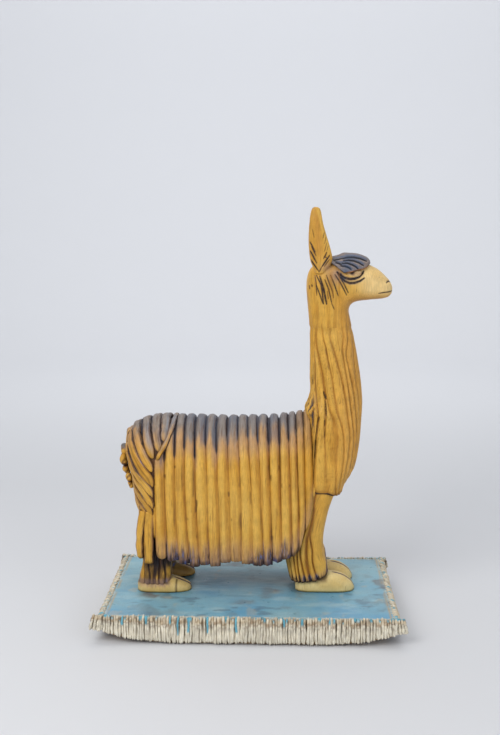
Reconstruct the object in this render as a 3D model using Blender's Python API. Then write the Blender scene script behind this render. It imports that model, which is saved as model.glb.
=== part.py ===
"""A glazed ceramic llama standing on a fringed rug-shaped slab.

Metres, +Z up. The llama faces +X. The origin is the middle of the slab's underside.
Its right side is towards -Y.
"""
import math

import bmesh
import bpy
from mathutils import Vector

# ---- driving dimensions ------------------------------------------------------------
GAP = 0.0003                  # clearance between two pieces that touch
SLAB_LENGTH = 0.264
SLAB_WIDTH = 0.152
SLAB_TOP = 0.025
SLAB_FLAT_HALF = 0.070        # half the length of the underside that lies flat
CORNER_LIFT_UNDER = 0.0085    # how far the underside curls up at a corner

STRAND_PITCH = 0.00375        # spacing of the fringe strands
STRAND_DEPTH = 0.0014         # groove between two strands
FRINGE_THICK_TOP = 0.0046
FRINGE_THICK_FOOT = 0.0062
FRINGE_CLEAR = 0.0015         # height of the strand ends over the slab's underside
FRINGE_SPLAY = 0.0032         # extra reach of the fringe at a corner

BODY_Y = 0.010                # the llama's middle plane, a little behind the slab's
COIL_COUNT = 16
COIL_GROOVE = 0.0022
TRUNK_REAR = -0.0910
TRUNK_FRONT = 0.0567
TRUNK_HALF_WIDTH = 0.0375
TRUNK_SHOULDER = 0.072        # height over which the back rounds out to full width
BELLY_HOLLOW = 0.0025

RUMP_REAR = -0.1215
RUMP_CORE = -0.1100           # behind this the rump rounds off
RUMP_FOOT = 0.1015
RUMP_HALF_WIDTH = 0.0395

NECK_FOOT = 0.1245
NECK_TOP = 0.2997
NECK_RIDGES = 16
NECK_GROOVE = 0.0011

HEAD_POWER = 2.3              # how square the head's section is

FRONT_FOOT = (0.0430, 0.0995, 0.0415, 0.0145)    # heel, toe, top, half the spacing
HIND_FOOT = (-0.1080, -0.0570, 0.0365, 0.0200)
FOOT_HALF_WIDTH = 0.0130
LEG_RIDGES = 12
LEG_GROOVE = 0.0010

# ---- outlines, as (height or station, value) ----------------------------------------
BACK_LINE = [(-0.091, 0.1905), (-0.065, 0.1922), (-0.010, 0.1914), (0.034, 0.1940),
             (0.047, 0.1960), (0.057, 0.1980)]
HEM_LINE = [(-0.091, 0.0585), (-0.068, 0.0580), (-0.055, 0.0530), (-0.042, 0.0540),
            (-0.020, 0.0580), (0.000, 0.0565), (0.019, 0.0547), (0.033, 0.0605),
            (0.038, 0.0655), (0.047, 0.0690), (0.052, 0.0850), (0.055, 0.0920),
            (0.057, 0.1240)]
RUMP_TOP = [(-0.1215, 0.1640), (-0.1185, 0.1740), (-0.1150, 0.1795), (-0.1065, 0.1862),
            (-0.0980, 0.1902), (-0.0880, 0.1930), (-0.0660, 0.1936)]
RUMP_LOW = [(-0.1215, 0.1580), (-0.1185, 0.1520), (-0.1165, 0.1460), (-0.1122, 0.1310),
            (-0.1095, 0.1115), (-0.1055, 0.1040), (-0.1000, RUMP_FOOT), (-0.0660, RUMP_FOOT)]
RUMP_WIDE = [(-0.1215, 0.0060), (-0.1185, 0.0180), (-0.1150, 0.0260), (-0.1065, 0.0340),
             (-0.0980, 0.0375), (-0.0880, RUMP_HALF_WIDTH), (-0.0660, RUMP_HALF_WIDTH)]
# The front edge of the rump's fleece, seen from the side, from its top down.
FLEECE_EDGE = [(-0.0680, 0.2150), (-0.0680, 0.1960), (-0.0750, 0.1840), (-0.0810, 0.1720),
               (-0.0880, 0.1574), (-0.0910, 0.1360), (-0.0912, 0.0900)]

NECK_BACK = [(0.125, 0.0573), (0.1985, 0.0573), (0.1990, 0.0505), (0.205, 0.0535),
             (0.213, 0.0562), (0.255, 0.0559), (0.283, 0.0551), (0.300, 0.0530)]
NECK_FRONT = [(0.125, 0.0895), (0.144, 0.0978), (0.163, 0.1017), (0.188, 0.1036),
              (0.207, 0.1042), (0.222, 0.1030), (0.250, 0.0987), (0.274, 0.0945),
              (0.291, 0.0924), (0.300, 0.0925)]
NECK_WIDE = [(0.125, 0.0320), (0.145, 0.0325), (0.165, 0.0310), (0.195, 0.0270),
             (0.220, 0.0225), (0.250, 0.0195), (0.280, 0.0180), (0.300, 0.0175)]

HEAD_TOP = [(0.0515, 0.3180), (0.0535, 0.3260), (0.0580, 0.3320), (0.0660, 0.3365),
            (0.0760, 0.3385), (0.0900, 0.3395), (0.1000, 0.3385), (0.1110, 0.3350),
            (0.1203, 0.3300), (0.1275, 0.3225), (0.1305, 0.3175), (0.1313, 0.3130)]
HEAD_LOW = [(0.0515, 0.3010), (0.0535, 0.3000), (0.0920, 0.3000), (0.0987, 0.3002),
            (0.1108, 0.3022), (0.1228, 0.3034), (0.1283, 0.3060), (0.1305, 0.3090),
            (0.1313, 0.3115)]
HEAD_WIDE = [(0.0515, 0.0060), (0.0535, 0.0115), (0.0580, 0.0155), (0.0660, 0.0180),
             (0.0760, 0.0188), (0.0900, 0.0182), (0.1000, 0.0165), (0.1110, 0.0142),
             (0.1203, 0.0122), (0.1275, 0.0096), (0.1305, 0.0060), (0.1313, 0.0020)]
# The lower edge of the tuft over the brow, seen from the side, from its root forwards.
BROW_EDGE = [(0.0745, 0.3365), (0.0800, 0.3325), (0.0855, 0.3283), (0.0930, 0.3292),
             (0.1020, 0.3315), (0.1080, 0.3340), (0.1115, 0.3360)]

HEAD_STATIONS = [0.0515, 0.0525, 0.0540, 0.0580, 0.0630, 0.0700, 0.0780, 0.0860, 0.0930,
                 0.1000, 0.1060, 0.1120, 0.1170, 0.1220, 0.1260, 0.1290, 0.1313]

FRONT_LEG_FRONT = [(0.0363, 0.0745), (0.0480, 0.0735), (0.0610, 0.0699), (0.0700, 0.0698),
                   (0.0850, 0.0722), (0.1000, 0.0747), (0.1172, 0.0795), (0.1242, 0.0815)]
FRONT_LEG_BACK = [(0.0363, 0.0385), (0.0480, 0.0355), (0.0580, 0.0345), (0.0750, 0.0365),
                  (0.0850, 0.0410), (0.1050, 0.0520), (0.1242, 0.0576)]

# ---- colours -------------------------------------------------------------------------
COLOURS = {
    "amber_clay": ((0.560, 0.325, 0.070), 0.45),
    "stained_clay": ((0.145, 0.115, 0.120), 0.50),
    "hoof_clay": ((0.600, 0.460, 0.160), 0.42),
    "turquoise_glaze": ((0.125, 0.360, 0.480), 0.30),
    "fringe_clay": ((0.640, 0.590, 0.470), 0.60),
    "eye_clay": ((0.330, 0.190, 0.060), 0.35),
}


def material(name):
    """The Principled material of one part, made once."""
    found = bpy.data.materials.get(name)
    if found:
        return found
    colour, roughness = COLOURS[name]
    made = bpy.data.materials.new(name)
    made.use_nodes = True
    shader = made.node_tree.nodes["Principled BSDF"]
    shader.inputs["Base Color"].default_value = (*colour, 1.0)
    shader.inputs["Roughness"].default_value = roughness
    shader.inputs["Metallic"].default_value = 0.0
    return made


def along(table, x):
    """The value at x on a smooth line through the table's points."""
    if x <= table[0][0]:
        return table[0][1]
    for (x0, v0), (x1, v1) in zip(table, table[1:]):
        if x <= x1:
            return v0 + (v1 - v0) * (x - x0) / (x1 - x0)
    return table[-1][1]


def collection(name):
    found = bpy.data.collections.get(name)
    if not found:
        found = bpy.data.collections.new(name)
        bpy.context.scene.collection.children.link(found)
    return found


def put(name, bm, surface):
    """Turns a bmesh into the named object, with its faces pointing out."""
    bmesh.ops.recalc_face_normals(bm, faces=bm.faces)
    mesh = bpy.data.meshes.new(name)
    bm.to_mesh(mesh)
    bm.free()
    mesh.shade_smooth()
    mesh.set_sharp_from_angle(angle=math.radians(40))
    mesh.materials.append(material(surface))
    made = bpy.data.objects.new(name, mesh)
    collection("ceramic_llama").objects.link(made)
    return made


def loft(name, rings, surface):
    """A closed solid through rings of equal count, with a fan over each end."""
    bm = bmesh.new()
    rows = [[bm.verts.new(point) for point in ring] for ring in rings]
    count = len(rows[0])
    for low, high in zip(rows, rows[1:]):
        for i in range(count):
            j = (i + 1) % count
            bm.faces.new((low[i], low[j], high[j], high[i]))
    for row in (rows[0], rows[-1]):
        middle = bm.verts.new(sum((v.co for v in row), Vector()) / count)
        for i in range(count):
            bm.faces.new((row[i], row[(i + 1) % count], middle))
    return put(name, bm, surface)


def cut(target, cutter, operation="DIFFERENCE"):
    """Cuts target with a cutter that the build leaves out."""
    modifier = target.modifiers.new("cut_" + cutter.name, "BOOLEAN")
    modifier.operation = operation
    modifier.solver = "EXACT"
    modifier.object = cutter
    cutter.hide_render = True
    cutter.display_type = "WIRE"
    for owner in list(cutter.users_collection):
        owner.objects.unlink(cutter)
    collection("cutters").objects.link(cutter)


# ---- the rug-shaped slab ----------------------------------------------------------------
def corner(x, y):
    """0 over the flat middle of the slab, 1 at its corners."""
    reach = max(0.0, abs(x) - SLAB_FLAT_HALF) / (SLAB_LENGTH / 2 - SLAB_FLAT_HALF)
    across = 0.45 + 0.55 * (y / (SLAB_WIDTH / 2)) ** 2
    return min(1.2, reach) ** 1.8 * across


def slab_under(x, y):
    return CORNER_LIFT_UNDER * corner(x, y)


def build_slab():
    reaches = [SLAB_FLAT_HALF, 0.098, 0.117, SLAB_LENGTH / 2]
    steps = [-1.0, -0.5, 0.5, 1.0]
    rings = []
    for x in [-reach for reach in reversed(reaches)] + reaches:
        ys = [step * SLAB_WIDTH / 2 for step in steps]
        under = [(x, y, slab_under(x, y)) for y in ys]
        over = [(x, y, SLAB_TOP) for y in reversed(ys)]
        rings.append(under + over)
    loft("slab", rings, "turquoise_glaze")


def build_fringe(name, length, offset, turn, reach):
    """One side's fringe: a toothed strip that hangs beside the slab.

    It is laid out along a line of the given length, offset from the middle, then turned.
    reach is how far its ends pass the slab's own corners.
    """
    strands = round(length / STRAND_PITCH)
    cosine, sine = math.cos(turn), math.sin(turn)

    def place(t, out, share):
        """A point at t along the strip, out from the slab's side, share of the way down."""
        s = (t - 0.5) * length
        near_corner = max(0.0, abs(t - 0.5) * 2 - 0.86) / 0.14
        splay = FRINGE_SPLAY * near_corner ** 2 * reach * share
        out = out + splay
        s = s + math.copysign(splay, s)
        x = cosine * s + sine * (offset + out)
        y = sine * s - cosine * (offset + out)
        top = SLAB_TOP + 0.0004
        foot = slab_under(x, y) + FRINGE_CLEAR + 0.0035 * near_corner ** 2 * reach
        return x, y, top + (foot - top) * share

    rings = []
    for share, thick in ((0.0, FRINGE_THICK_TOP), (1.0, FRINGE_THICK_FOOT)):
        outer = []
        for i in range(strands * 2 + 1):
            groove = STRAND_DEPTH if i % 2 == 0 else 0.0
            outer.append(place(i / (strands * 2), thick - groove, share))
        inner = [place(t, GAP, share) for t in (1.0, 0.93, 0.75, 0.5, 0.25, 0.07, 0.0)]
        rings.append(outer + inner)

    bm = bmesh.new()
    rows = [[bm.verts.new(point) for point in ring] for ring in rings]
    count = len(rows[0])
    for low, high in zip(rows, rows[1:]):
        for i in range(count):
            j = (i + 1) % count
            bm.faces.new((low[i], low[j], high[j], high[i]))
    bm.faces.new(rows[0])
    bm.faces.new(rows[-1])
    bmesh.ops.triangulate(bm, faces=bm.faces)
    put(name, bm, "fringe_clay")


def build_rug():
    build_slab()
    short_side = SLAB_WIDTH - 0.0012
    build_fringe("fringe_front", SLAB_LENGTH + 0.0140, SLAB_WIDTH / 2, 0.0, 1.0)
    build_fringe("fringe_back", SLAB_LENGTH + 0.0090, SLAB_WIDTH / 2, math.pi, 1.0)
    build_fringe("fringe_right", short_side, SLAB_LENGTH / 2, math.pi / 2, 0.0)
    build_fringe("fringe_left", short_side, SLAB_LENGTH / 2, -math.pi / 2, 0.0)


# ---- trunk and rump ---------------------------------------------------------------------
def arch(top, foot, half_width, shoulder, count, hollow):
    """An arch in the (across, up) plane: over the back, then along the belly."""
    points = []
    for i in range(count + 1):
        share = -1 + 2 * i / count
        drop = abs(share) ** 1.5 * (top - foot)
        level = min(1.0, drop / shoulder)
        wide = half_width * (1 - (1 - level) ** 2.3) ** (1 / 2.3)
        points.append((math.copysign(wide, share), top - drop))
    points.append((half_width * 0.55, foot + hollow))
    points.append((-half_width * 0.55, foot + hollow))
    return points


def build_trunk():
    """Rounded coils side by side, draped over the back down to a ragged hem."""
    pitch = (TRUNK_FRONT - TRUNK_REAR) / COIL_COUNT
    rings = []
    for i in range(COIL_COUNT):
        for share, depth in ((0.0, COIL_GROOVE), (0.28, 0.0), (0.72, 0.0)):
            rings.append((TRUNK_REAR + (i + share) * pitch, depth))
    rings.append((TRUNK_FRONT, COIL_GROOVE))
    sections = []
    for x, depth in rings:
        top = along(BACK_LINE, x) - depth
        foot = along(HEM_LINE, x) + depth * 0.6
        section = arch(top, foot, TRUNK_HALF_WIDTH - depth, TRUNK_SHOULDER, 12, BELLY_HOLLOW)
        sections.append([(x, BODY_Y + y, z) for y, z in section])
    return loft("trunk", sections, "amber_clay")


def build_rump(name, grow):
    """The fleece over the hindquarters, which laps over the rear of the trunk."""
    sections = []
    for x in (-0.1215, -0.1200, -0.1175, -0.1150, -0.1110, -0.1065, -0.1020, -0.0980,
              -0.0935, -0.0890, -0.0850, -0.0810, -0.0770, -0.0730, -0.0660):
        top = along(RUMP_TOP, x) + grow
        foot = along(RUMP_LOW, x) - grow
        wide = along(RUMP_WIDE, x) + grow
        shoulder = TRUNK_SHOULDER * min(1.0, wide / RUMP_HALF_WIDTH)
        section = arch(top, foot, wide, shoulder, 14, 0.0)
        shift = -grow if x < RUMP_CORE else 0.0
        sections.append([(x + shift, BODY_Y + y, z) for y, z in section])
    return loft(name, sections, "amber_clay")


def edge_prism(name, shift):
    """A prism behind the front edge of the rump's fleece, moved forward by shift."""
    outline = [(x + shift, z) for x, z in FLEECE_EDGE]
    outline += [(-0.150, 0.090), (-0.150, 0.215)]
    rings = [[(x, BODY_Y + side * 0.060, z) for x, z in outline] for side in (-1, 1)]
    bm = bmesh.new()
    rows = [[bm.verts.new(point) for point in ring] for ring in rings]
    count = len(rows[0])
    for i in range(count):
        j = (i + 1) % count
        bm.faces.new((rows[0][i], rows[0][j], rows[1][j], rows[1][i]))
    bm.faces.new(rows[0])
    bm.faces.new(rows[1])
    return put(name, bm, "amber_clay")


def build_body():
    trunk = build_trunk()
    rump = build_rump("rump", 0.0)
    cut(trunk, edge_prism("fleece_edge_trunk", GAP))
    cut(rump, edge_prism("fleece_edge_rump", 0.0), "INTERSECT")
    for word, side in (("right", -1), ("left", 1)):
        front_leg = build_front_leg("leg_front_" + word, side, 0.0)
        hind_leg = build_hind_leg("leg_hind_" + word, side, 0.0)
        build_foot("foot_front_" + word, FRONT_FOOT, side, 0.0)
        build_foot("foot_hind_" + word, HIND_FOOT, side, 0.0)
        cut(front_leg, build_foot("instep_front_" + word, FRONT_FOOT, side, GAP))
        cut(hind_leg, build_foot("instep_hind_" + word, HIND_FOOT, side, GAP))
        cut(trunk, build_front_leg("pocket_front_" + word, side, GAP))
        cut(trunk, build_hind_leg("pocket_hind_" + word, side, GAP))
    cut(build_tail(), build_rump("tail_seat", GAP))


def build_tail():
    """A short tail of stacked knots, hanging against the rump."""
    top, foot, knots = 0.1665, 0.1190, 5
    count = knots * 3
    rings = []
    for i in range(count + 1):
        share = i / count
        z = top + (foot - top) * share
        swell = 0.5 + 0.5 * abs(math.sin(math.pi * knots * share))
        half_x = (0.0026 + 0.0012 * swell) * (1 - 0.35 * share)
        half_y = (0.0050 + 0.0024 * swell) * (1 - 0.45 * share)
        x = RUMP_REAR - 0.0022 + 0.0075 * max(0.0, share - 0.25) ** 1.3
        ring = []
        for k in range(8):
            angle = k * math.pi / 4
            ring.append((x + half_x * math.cos(angle), BODY_Y + half_y * math.sin(angle), z))
        rings.append(ring)
    return loft("tail", rings, "amber_clay")


# ---- neck and head ------------------------------------------------------------------------
def superellipse(angle, power):
    cosine, sine = math.cos(angle), math.sin(angle)
    return (math.copysign(abs(cosine) ** (2 / power), cosine),
            math.copysign(abs(sine) ** (2 / power), sine))


def build_neck():
    """A column of long strips that widens into a bib over the chest."""
    count = NECK_RIDGES * 2
    rings = []
    for z in (NECK_FOOT, 0.130, 0.144, 0.163, 0.185, 0.1984, 0.1991, 0.205, 0.214, 0.235,
              0.255, 0.275, 0.290, NECK_TOP):
        back, front, wide = along(NECK_BACK, z), along(NECK_FRONT, z), along(NECK_WIDE, z)
        squareness = 2.2 + 2.6 * max(0.0, min(1.0, (0.215 - z) / 0.06))
        ring = []
        for i in range(count):
            angle = 2 * math.pi * i / count
            u, v = superellipse(angle, squareness if math.cos(angle) < 0 else 2.2)
            depth = NECK_GROOVE if i % 2 else 0.0
            half = (front - back) / 2
            x = (back + front) / 2 + (half - depth) * u
            y = BODY_Y + (wide - depth) * v
            ring.append((max(x, back), y, z))
        rings.append(ring)
    loft("neck", rings, "amber_clay")


def head_ring(x, grow, count=16):
    """The head's section at x, grown outwards by grow."""
    top, low, wide = along(HEAD_TOP, x), along(HEAD_LOW, x), along(HEAD_WIDE, x)
    ring = []
    for i in range(count):
        angle = 2 * math.pi * i / count
        power = 3.6 if math.sin(angle) < 0 and x < 0.095 else HEAD_POWER
        u, v = superellipse(angle, power)
        up = (top + low) / 2 + ((top - low) / 2 + grow) * v
        ring.append((x, BODY_Y + (wide + grow) * u, up))
    return ring


def build_head():
    head = loft("head", [head_ring(x, 0.0) for x in HEAD_STATIONS], "amber_clay")
    forelock = build_forelock()
    for name, side in (("right", -1), ("left", 1)):
        build_eye("eye_" + name, side, 0.0)
        socket = build_eye("socket_" + name, side, GAP)
        cut(head, socket)
        cut(forelock, socket)


def build_eye(name, side, grow):
    bm = bmesh.new()
    bmesh.ops.create_uvsphere(bm, u_segments=12, v_segments=8, radius=1.0)
    half = Vector((0.0075 + grow, 0.0048 + grow, 0.0042 + grow))
    for vert in bm.verts:
        vert.co = Vector((vert.co.x * half.x, vert.co.y * half.y, vert.co.z * half.z))
        vert.co += Vector((0.0930, BODY_Y + side * 0.0135, 0.3285))
    return put(name, bm, "eye_clay")


def build_forelock():
    """A flat tuft that lies over the brow down to the eyes."""
    count = 8
    seat = GAP * 2
    sections = []
    for x in (0.0745, 0.0775, 0.0815, 0.0855, 0.0895, 0.0940, 0.0990, 0.1040, 0.1080, 0.1115):
        top, low = along(HEAD_TOP, x), along(HEAD_LOW, x)
        level = (along(BROW_EDGE, x) - (top + low) / 2) / ((top - low) / 2)
        edge = math.asin(max(0.0, min(0.99, level)) ** (HEAD_POWER / 2))
        thick = 0.0008 + 0.0040 * math.sin(math.pi * (x - 0.0720) / (0.1135 - 0.0720)) ** 0.6
        outer, inner = [], []
        for k in range(count + 1):
            across = -1 + 2 * k / count
            angle = math.pi / 2 + across * (math.pi / 2 - edge)
            outer.append(head_point(x, angle, seat + thick * (1 - 0.45 * across ** 2)))
            inner.append(head_point(x, angle, seat))
        sections.append(outer + list(reversed(inner)))
    return loft("forelock", sections, "stained_clay")


def head_point(x, angle, grow):
    top, low, wide = along(HEAD_TOP, x), along(HEAD_LOW, x), along(HEAD_WIDE, x)
    u, v = superellipse(angle, HEAD_POWER)
    return (x, BODY_Y + (wide + grow) * u, (top + low) / 2 + ((top - low) / 2 + grow) * v)


def build_ear(name, side):
    """An upright leaf with a shallow hollow on its outer face and a pointed root."""
    foot, tip = 0.3285, 0.3878
    rings = []
    for z, back, front in ((foot, 0.0600, 0.0640), (0.3345, 0.0565, 0.0712),
                           (0.3405, 0.0543, 0.0745), (0.3470, 0.0535, 0.0732),
                           (0.3560, 0.0533, 0.0710), (0.3670, 0.0537, 0.0685),
                           (0.3770, 0.0546, 0.0662), (0.3840, 0.0556, 0.0643),
                           (0.3868, 0.0568, 0.0630), (tip, 0.0582, 0.0615)):
        middle, half = (back + front) / 2, (front - back) / 2
        share = (z - foot) / (tip - foot)
        centre = BODY_Y + side * (0.0120 + 0.0020 * math.sin(math.pi * share))
        thick = 0.0046 * (1 - 0.55 * share)
        ring = []
        for k in range(12):
            u, v = superellipse(2 * math.pi * k / 12, 2.2)
            scoop = 0.0020 * (1 - u * u) * (1 - share) if v > 0 else 0.0
            ring.append((middle + half * u, centre + side * (thick * v - scoop), z))
        rings.append(ring)
    return loft(name, rings, "amber_clay")


def build_ears():
    for word, side in (("right", -1), ("left", 1)):
        seat = loft("ear_seat_" + word, [head_ring(x, GAP) for x in HEAD_STATIONS], "amber_clay")
        cut(build_ear("ear_" + word, side), seat)


# ---- legs and feet ------------------------------------------------------------------------
def ridged_ring(back, front, near, far, z, power=2.8):
    """A ring between two stations and two sides, with a groove at every other point."""
    count = LEG_RIDGES * 2
    ring = []
    for i in range(count):
        u, v = superellipse(2 * math.pi * i / count, power)
        depth = LEG_GROOVE if i % 2 else 0.0
        x = (back + front) / 2 + ((front - back) / 2 - depth) * u
        y = (near + far) / 2 + (abs(far - near) / 2 - depth) * v
        ring.append((x, y, z))
    return ring


def build_front_leg(name, side, grow):
    rings = []
    for z in (0.0370, 0.0500, 0.0600, 0.0720, 0.0850, 0.1050, 0.1240):
        inner = 0.0012 - grow
        outer = 0.0285 + 0.0020 * min(1.0, max(0.0, (z - 0.045) / 0.06)) + grow
        rings.append(ridged_ring(along(FRONT_LEG_BACK, z) - grow, along(FRONT_LEG_FRONT, z) + grow,
                                 BODY_Y + side * inner, BODY_Y + side * outer, z))
    return loft(name, rings, "amber_clay")


def build_hind_leg(name, side, grow):
    rings = []
    for z, back, front, inner, outer in (
            (0.0340, -0.1068, -0.0755, 0.0075, 0.0325),
            (0.0450, -0.1070, -0.0765, 0.0070, 0.0310),
            (0.0550, -0.1064, -0.0775, 0.0060, 0.0305),
            (0.0650, -0.1074, -0.0800, 0.0050, 0.0325),
            (0.0780, -0.1078, -0.0830, 0.0030, 0.0345),
            (0.0880, -0.1076, -0.0860, 0.0025, 0.0345),
            (0.1011, -0.1068, -0.0870, 0.0020, 0.0340)):
        rings.append(ridged_ring(back - grow, front + grow, BODY_Y + side * (inner - grow),
                                 BODY_Y + side * (outer + grow), z))
    return loft(name, rings, "amber_clay")


def build_foot(name, shape, side, grow):
    """A long flat-soled foot, highest under the shin, with a rounded toe."""
    heel, toe, crest, spread = shape
    heel, toe, crest = heel - grow, toe + grow, crest + grow
    length = toe - heel
    sole = SLAB_TOP + GAP
    half_width = FOOT_HALF_WIDTH + grow
    rings = []
    for share, tall, wide in ((0.0, 0.30, 0.35), (0.04, 0.62, 0.66), (0.14, 0.86, 0.92),
                              (0.35, 1.0, 1.0), (0.62, 1.0, 1.0), (0.78, 0.84, 0.97),
                              (0.90, 0.62, 0.80), (0.97, 0.40, 0.52), (1.0, 0.22, 0.26)):
        x = heel + length * share
        y = BODY_Y + side * spread
        ring = [(x, y + half_width * wide * 0.96, sole), (x, y - half_width * wide * 0.96, sole)]
        for k in range(7):
            u, v = superellipse(math.pi * (1 - k / 6), 2.3)
            lift = 0.12 + 0.88 * v
            ring.append((x, y + half_width * wide * u, sole + (crest - sole) * tall * lift))
        rings.append(ring)
    return loft(name, rings, "hoof_clay")


def main():
    for old in list(bpy.data.objects):
        bpy.data.objects.remove(old)
    build_rug()
    build_body()
    build_neck()
    build_head()
    build_ears()


main()
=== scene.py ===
"""The looks of a ceramic llama on a fringed slab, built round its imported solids.

Metres, +Z up. The llama faces +X and its right side is towards -Y.
"""
import math

import bpy
import numpy as np
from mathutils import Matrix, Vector
from mathutils.bvhtree import BVHTree


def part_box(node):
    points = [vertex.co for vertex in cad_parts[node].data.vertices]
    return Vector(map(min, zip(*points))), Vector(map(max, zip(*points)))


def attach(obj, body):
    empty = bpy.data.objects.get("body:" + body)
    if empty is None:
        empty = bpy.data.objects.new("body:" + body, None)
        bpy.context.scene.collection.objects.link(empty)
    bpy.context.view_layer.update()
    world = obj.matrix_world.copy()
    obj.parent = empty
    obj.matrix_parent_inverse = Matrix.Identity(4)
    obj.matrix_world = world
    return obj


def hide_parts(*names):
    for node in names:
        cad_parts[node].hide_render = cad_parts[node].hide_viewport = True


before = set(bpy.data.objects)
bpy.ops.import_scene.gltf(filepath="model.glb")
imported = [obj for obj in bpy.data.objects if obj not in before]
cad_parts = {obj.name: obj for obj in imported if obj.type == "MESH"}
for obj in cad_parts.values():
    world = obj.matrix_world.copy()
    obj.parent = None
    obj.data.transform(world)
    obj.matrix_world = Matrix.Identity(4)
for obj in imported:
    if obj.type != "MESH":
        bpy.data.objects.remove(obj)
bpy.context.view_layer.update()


# ---- numbers read off the solids ---------------------------------------------------------
def middle(node, axis):
    low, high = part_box(node)
    return (low[axis] + high[axis]) / 2


BODY_Y = middle("trunk", 1)
SLAB_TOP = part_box("slab")[1][2]
SLAB_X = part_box("slab")[1][0]
SLAB_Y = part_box("slab")[1][1]
# How far the slab's corners curl up.
CORNER_CURL = 0.0085
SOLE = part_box("foot_front_right")[0][2]
TRUNK_HALF = (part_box("trunk")[1][1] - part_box("trunk")[0][1]) / 2
NECK_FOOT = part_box("neck")[0][2]


# ---- small tools ---------------------------------------------------------------------------
def srgb(red, green, blue):
    """A given colour, as the linear values that Blender wants."""
    c = np.array([red, green, blue]) / 255.0
    return np.where(c <= 0.04045, c / 12.92, ((c + 0.055) / 1.055) ** 2.4)


def mix(a, b, share):
    """Colour a turned towards colour b by a share from 0 to 1."""
    share = np.clip(np.asarray(share, float), 0.0, 1.0)[..., None]
    return a * (1 - share) + b * share


def ramp(x, low, high):
    """A smooth step: 0 up to low and 1 from high on."""
    t = np.clip((np.asarray(x, float) - low) / (high - low), 0.0, 1.0)
    return t * t * (3 - 2 * t)


def below(x, edge, over):
    """1 well below an edge, falling smoothly to 0 at it over the given distance."""
    return ramp(edge - x, 0.0, over)


def bump(x, at, width, power=2):
    """1 at a place, falling away to both sides within about two widths."""
    return np.exp(-((x - at) / width) ** power)


def stains(dark, blue=0.0):
    """How strongly dark and blue stains show, as the mesh attribute that the clay reads. The dark one also
    rises where painted shade lies, in grooves and on undersides.
    """
    dark, blue = np.broadcast_arrays(dark, blue)
    return np.stack([dark, blue, 0 * dark], -1)


def curve(table, x):
    """The smooth value at x through a table of (station, value)."""
    table = np.asarray(table, float)
    table = table[np.argsort(table[:, 0])]
    xs, ys = table[:, 0], table[:, 1]
    slope = np.gradient(ys, xs)
    x = np.clip(np.asarray(x, float), xs[0], xs[-1])
    i = np.clip(np.searchsorted(xs, x, "right") - 1, 0, len(xs) - 2)
    h = xs[i + 1] - xs[i]
    u = (x - xs[i]) / h
    return ((2 * u ** 3 - 3 * u ** 2 + 1) * ys[i] + (u ** 3 - 2 * u ** 2 + u) * h * slope[i]
            + (3 * u ** 2 - 2 * u ** 3) * ys[i + 1] + (u ** 3 - u ** 2) * h * slope[i + 1])


def noise(x, y=0.0, z=0.0, seed=0):
    """Smooth noise from -1 to 1."""
    x, y, z = np.broadcast_arrays(np.asarray(x, float), y, z)
    p = np.stack([x, y, z], -1)
    base = np.floor(p).astype(np.int64)
    f = p - base
    f = f * f * (3 - 2 * f)
    total = np.zeros(x.shape)
    for corner in range(8):
        bits = np.array([corner & 1, corner >> 1 & 1, corner >> 2 & 1])
        cell = base + bits
        h = (cell[..., 0] * 73856093) ^ (cell[..., 1] * 19349663) ^ (cell[..., 2] * 83492791)
        h = (h + seed * 7919) & 0xFFFFFF
        h = (h * 1103515245 + 12345) & 0x7FFFFFFF
        h = ((h ^ (h >> 13)) * 60493) & 0x7FFFFFFF
        weight = np.prod(np.where(bits == 1, f, 1 - f), -1)
        total += weight * ((h >> 7 & 0xFFFF) / 32767.5 - 1)
    return total


def fbm(x, y=0.0, z=0.0, seed=0):
    """Smooth noise in three sizes, one on another."""
    x, y, z = (np.asarray(part) for part in (x, y, z))
    sizes = ((1.0, 0.6), (2.1, 0.3), (4.3, 0.15))
    return sum(noise(x * scale, y * scale, z * scale, seed + i) * share
               for i, (scale, share) in enumerate(sizes))


def unit(v):
    return v / np.maximum(np.linalg.norm(v, axis=-1, keepdims=True), 1e-12)


def turn_of(count):
    """Angles evenly spaced round a full turn."""
    return np.arange(count) * 2 * math.pi / count


def superellipse(angle, power):
    """A point on a rounded section: power 2 is a circle, and more is squarer."""
    c, s = np.cos(angle), np.sin(angle)
    return np.sign(c) * np.abs(c) ** (2 / power), np.sign(s) * np.abs(s) ** (2 / power)


def resample(path, count):
    """A path of points again, evenly spaced and rounded at its corners."""
    path = np.asarray(path, float)
    length = np.r_[0, np.cumsum(np.linalg.norm(np.diff(path, axis=0), axis=1))]
    return np.stack([curve(np.c_[length, path[:, k]], np.linspace(0, length[-1], count))
                     for k in range(path.shape[1])], -1)


# ---- colours ---------------------------------------------------------------------------------
AMBER = srgb(200, 145, 46)
AMBER_LIT = srgb(218, 173, 80)
AMBER_DEEP = srgb(158, 102, 24)
ORANGE = srgb(206, 148, 72)
TAN = srgb(178, 138, 98)
CREAM = srgb(230, 200, 140)
BROWN = srgb(88, 54, 20)
BLACK = srgb(30, 20, 24)
GREY = srgb(124, 120, 118)
MAUVE = srgb(132, 106, 100)
SLATE = srgb(76, 88, 108)
SLATE_DEEP = srgb(36, 42, 60)
BLUE = srgb(92, 106, 152)
HOOF = srgb(224, 201, 140)
STONE = srgb(182, 152, 112)
GLAZE = srgb(112, 166, 190)
GLAZE_PALE = srgb(156, 190, 192)
GLAZE_GREY = srgb(112, 118, 120)
TEAL = srgb(92, 166, 188)
FRINGE = srgb(214, 206, 186)
FRINGE_SHADE = srgb(150, 134, 108)
FRINGE_DARK = srgb(66, 50, 36)
LILAC = srgb(170, 160, 172)
VIOLET = srgb(102, 96, 126)
SMOKE = srgb(118, 126, 138)
INK_BLUE = srgb(62, 78, 128)


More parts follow.
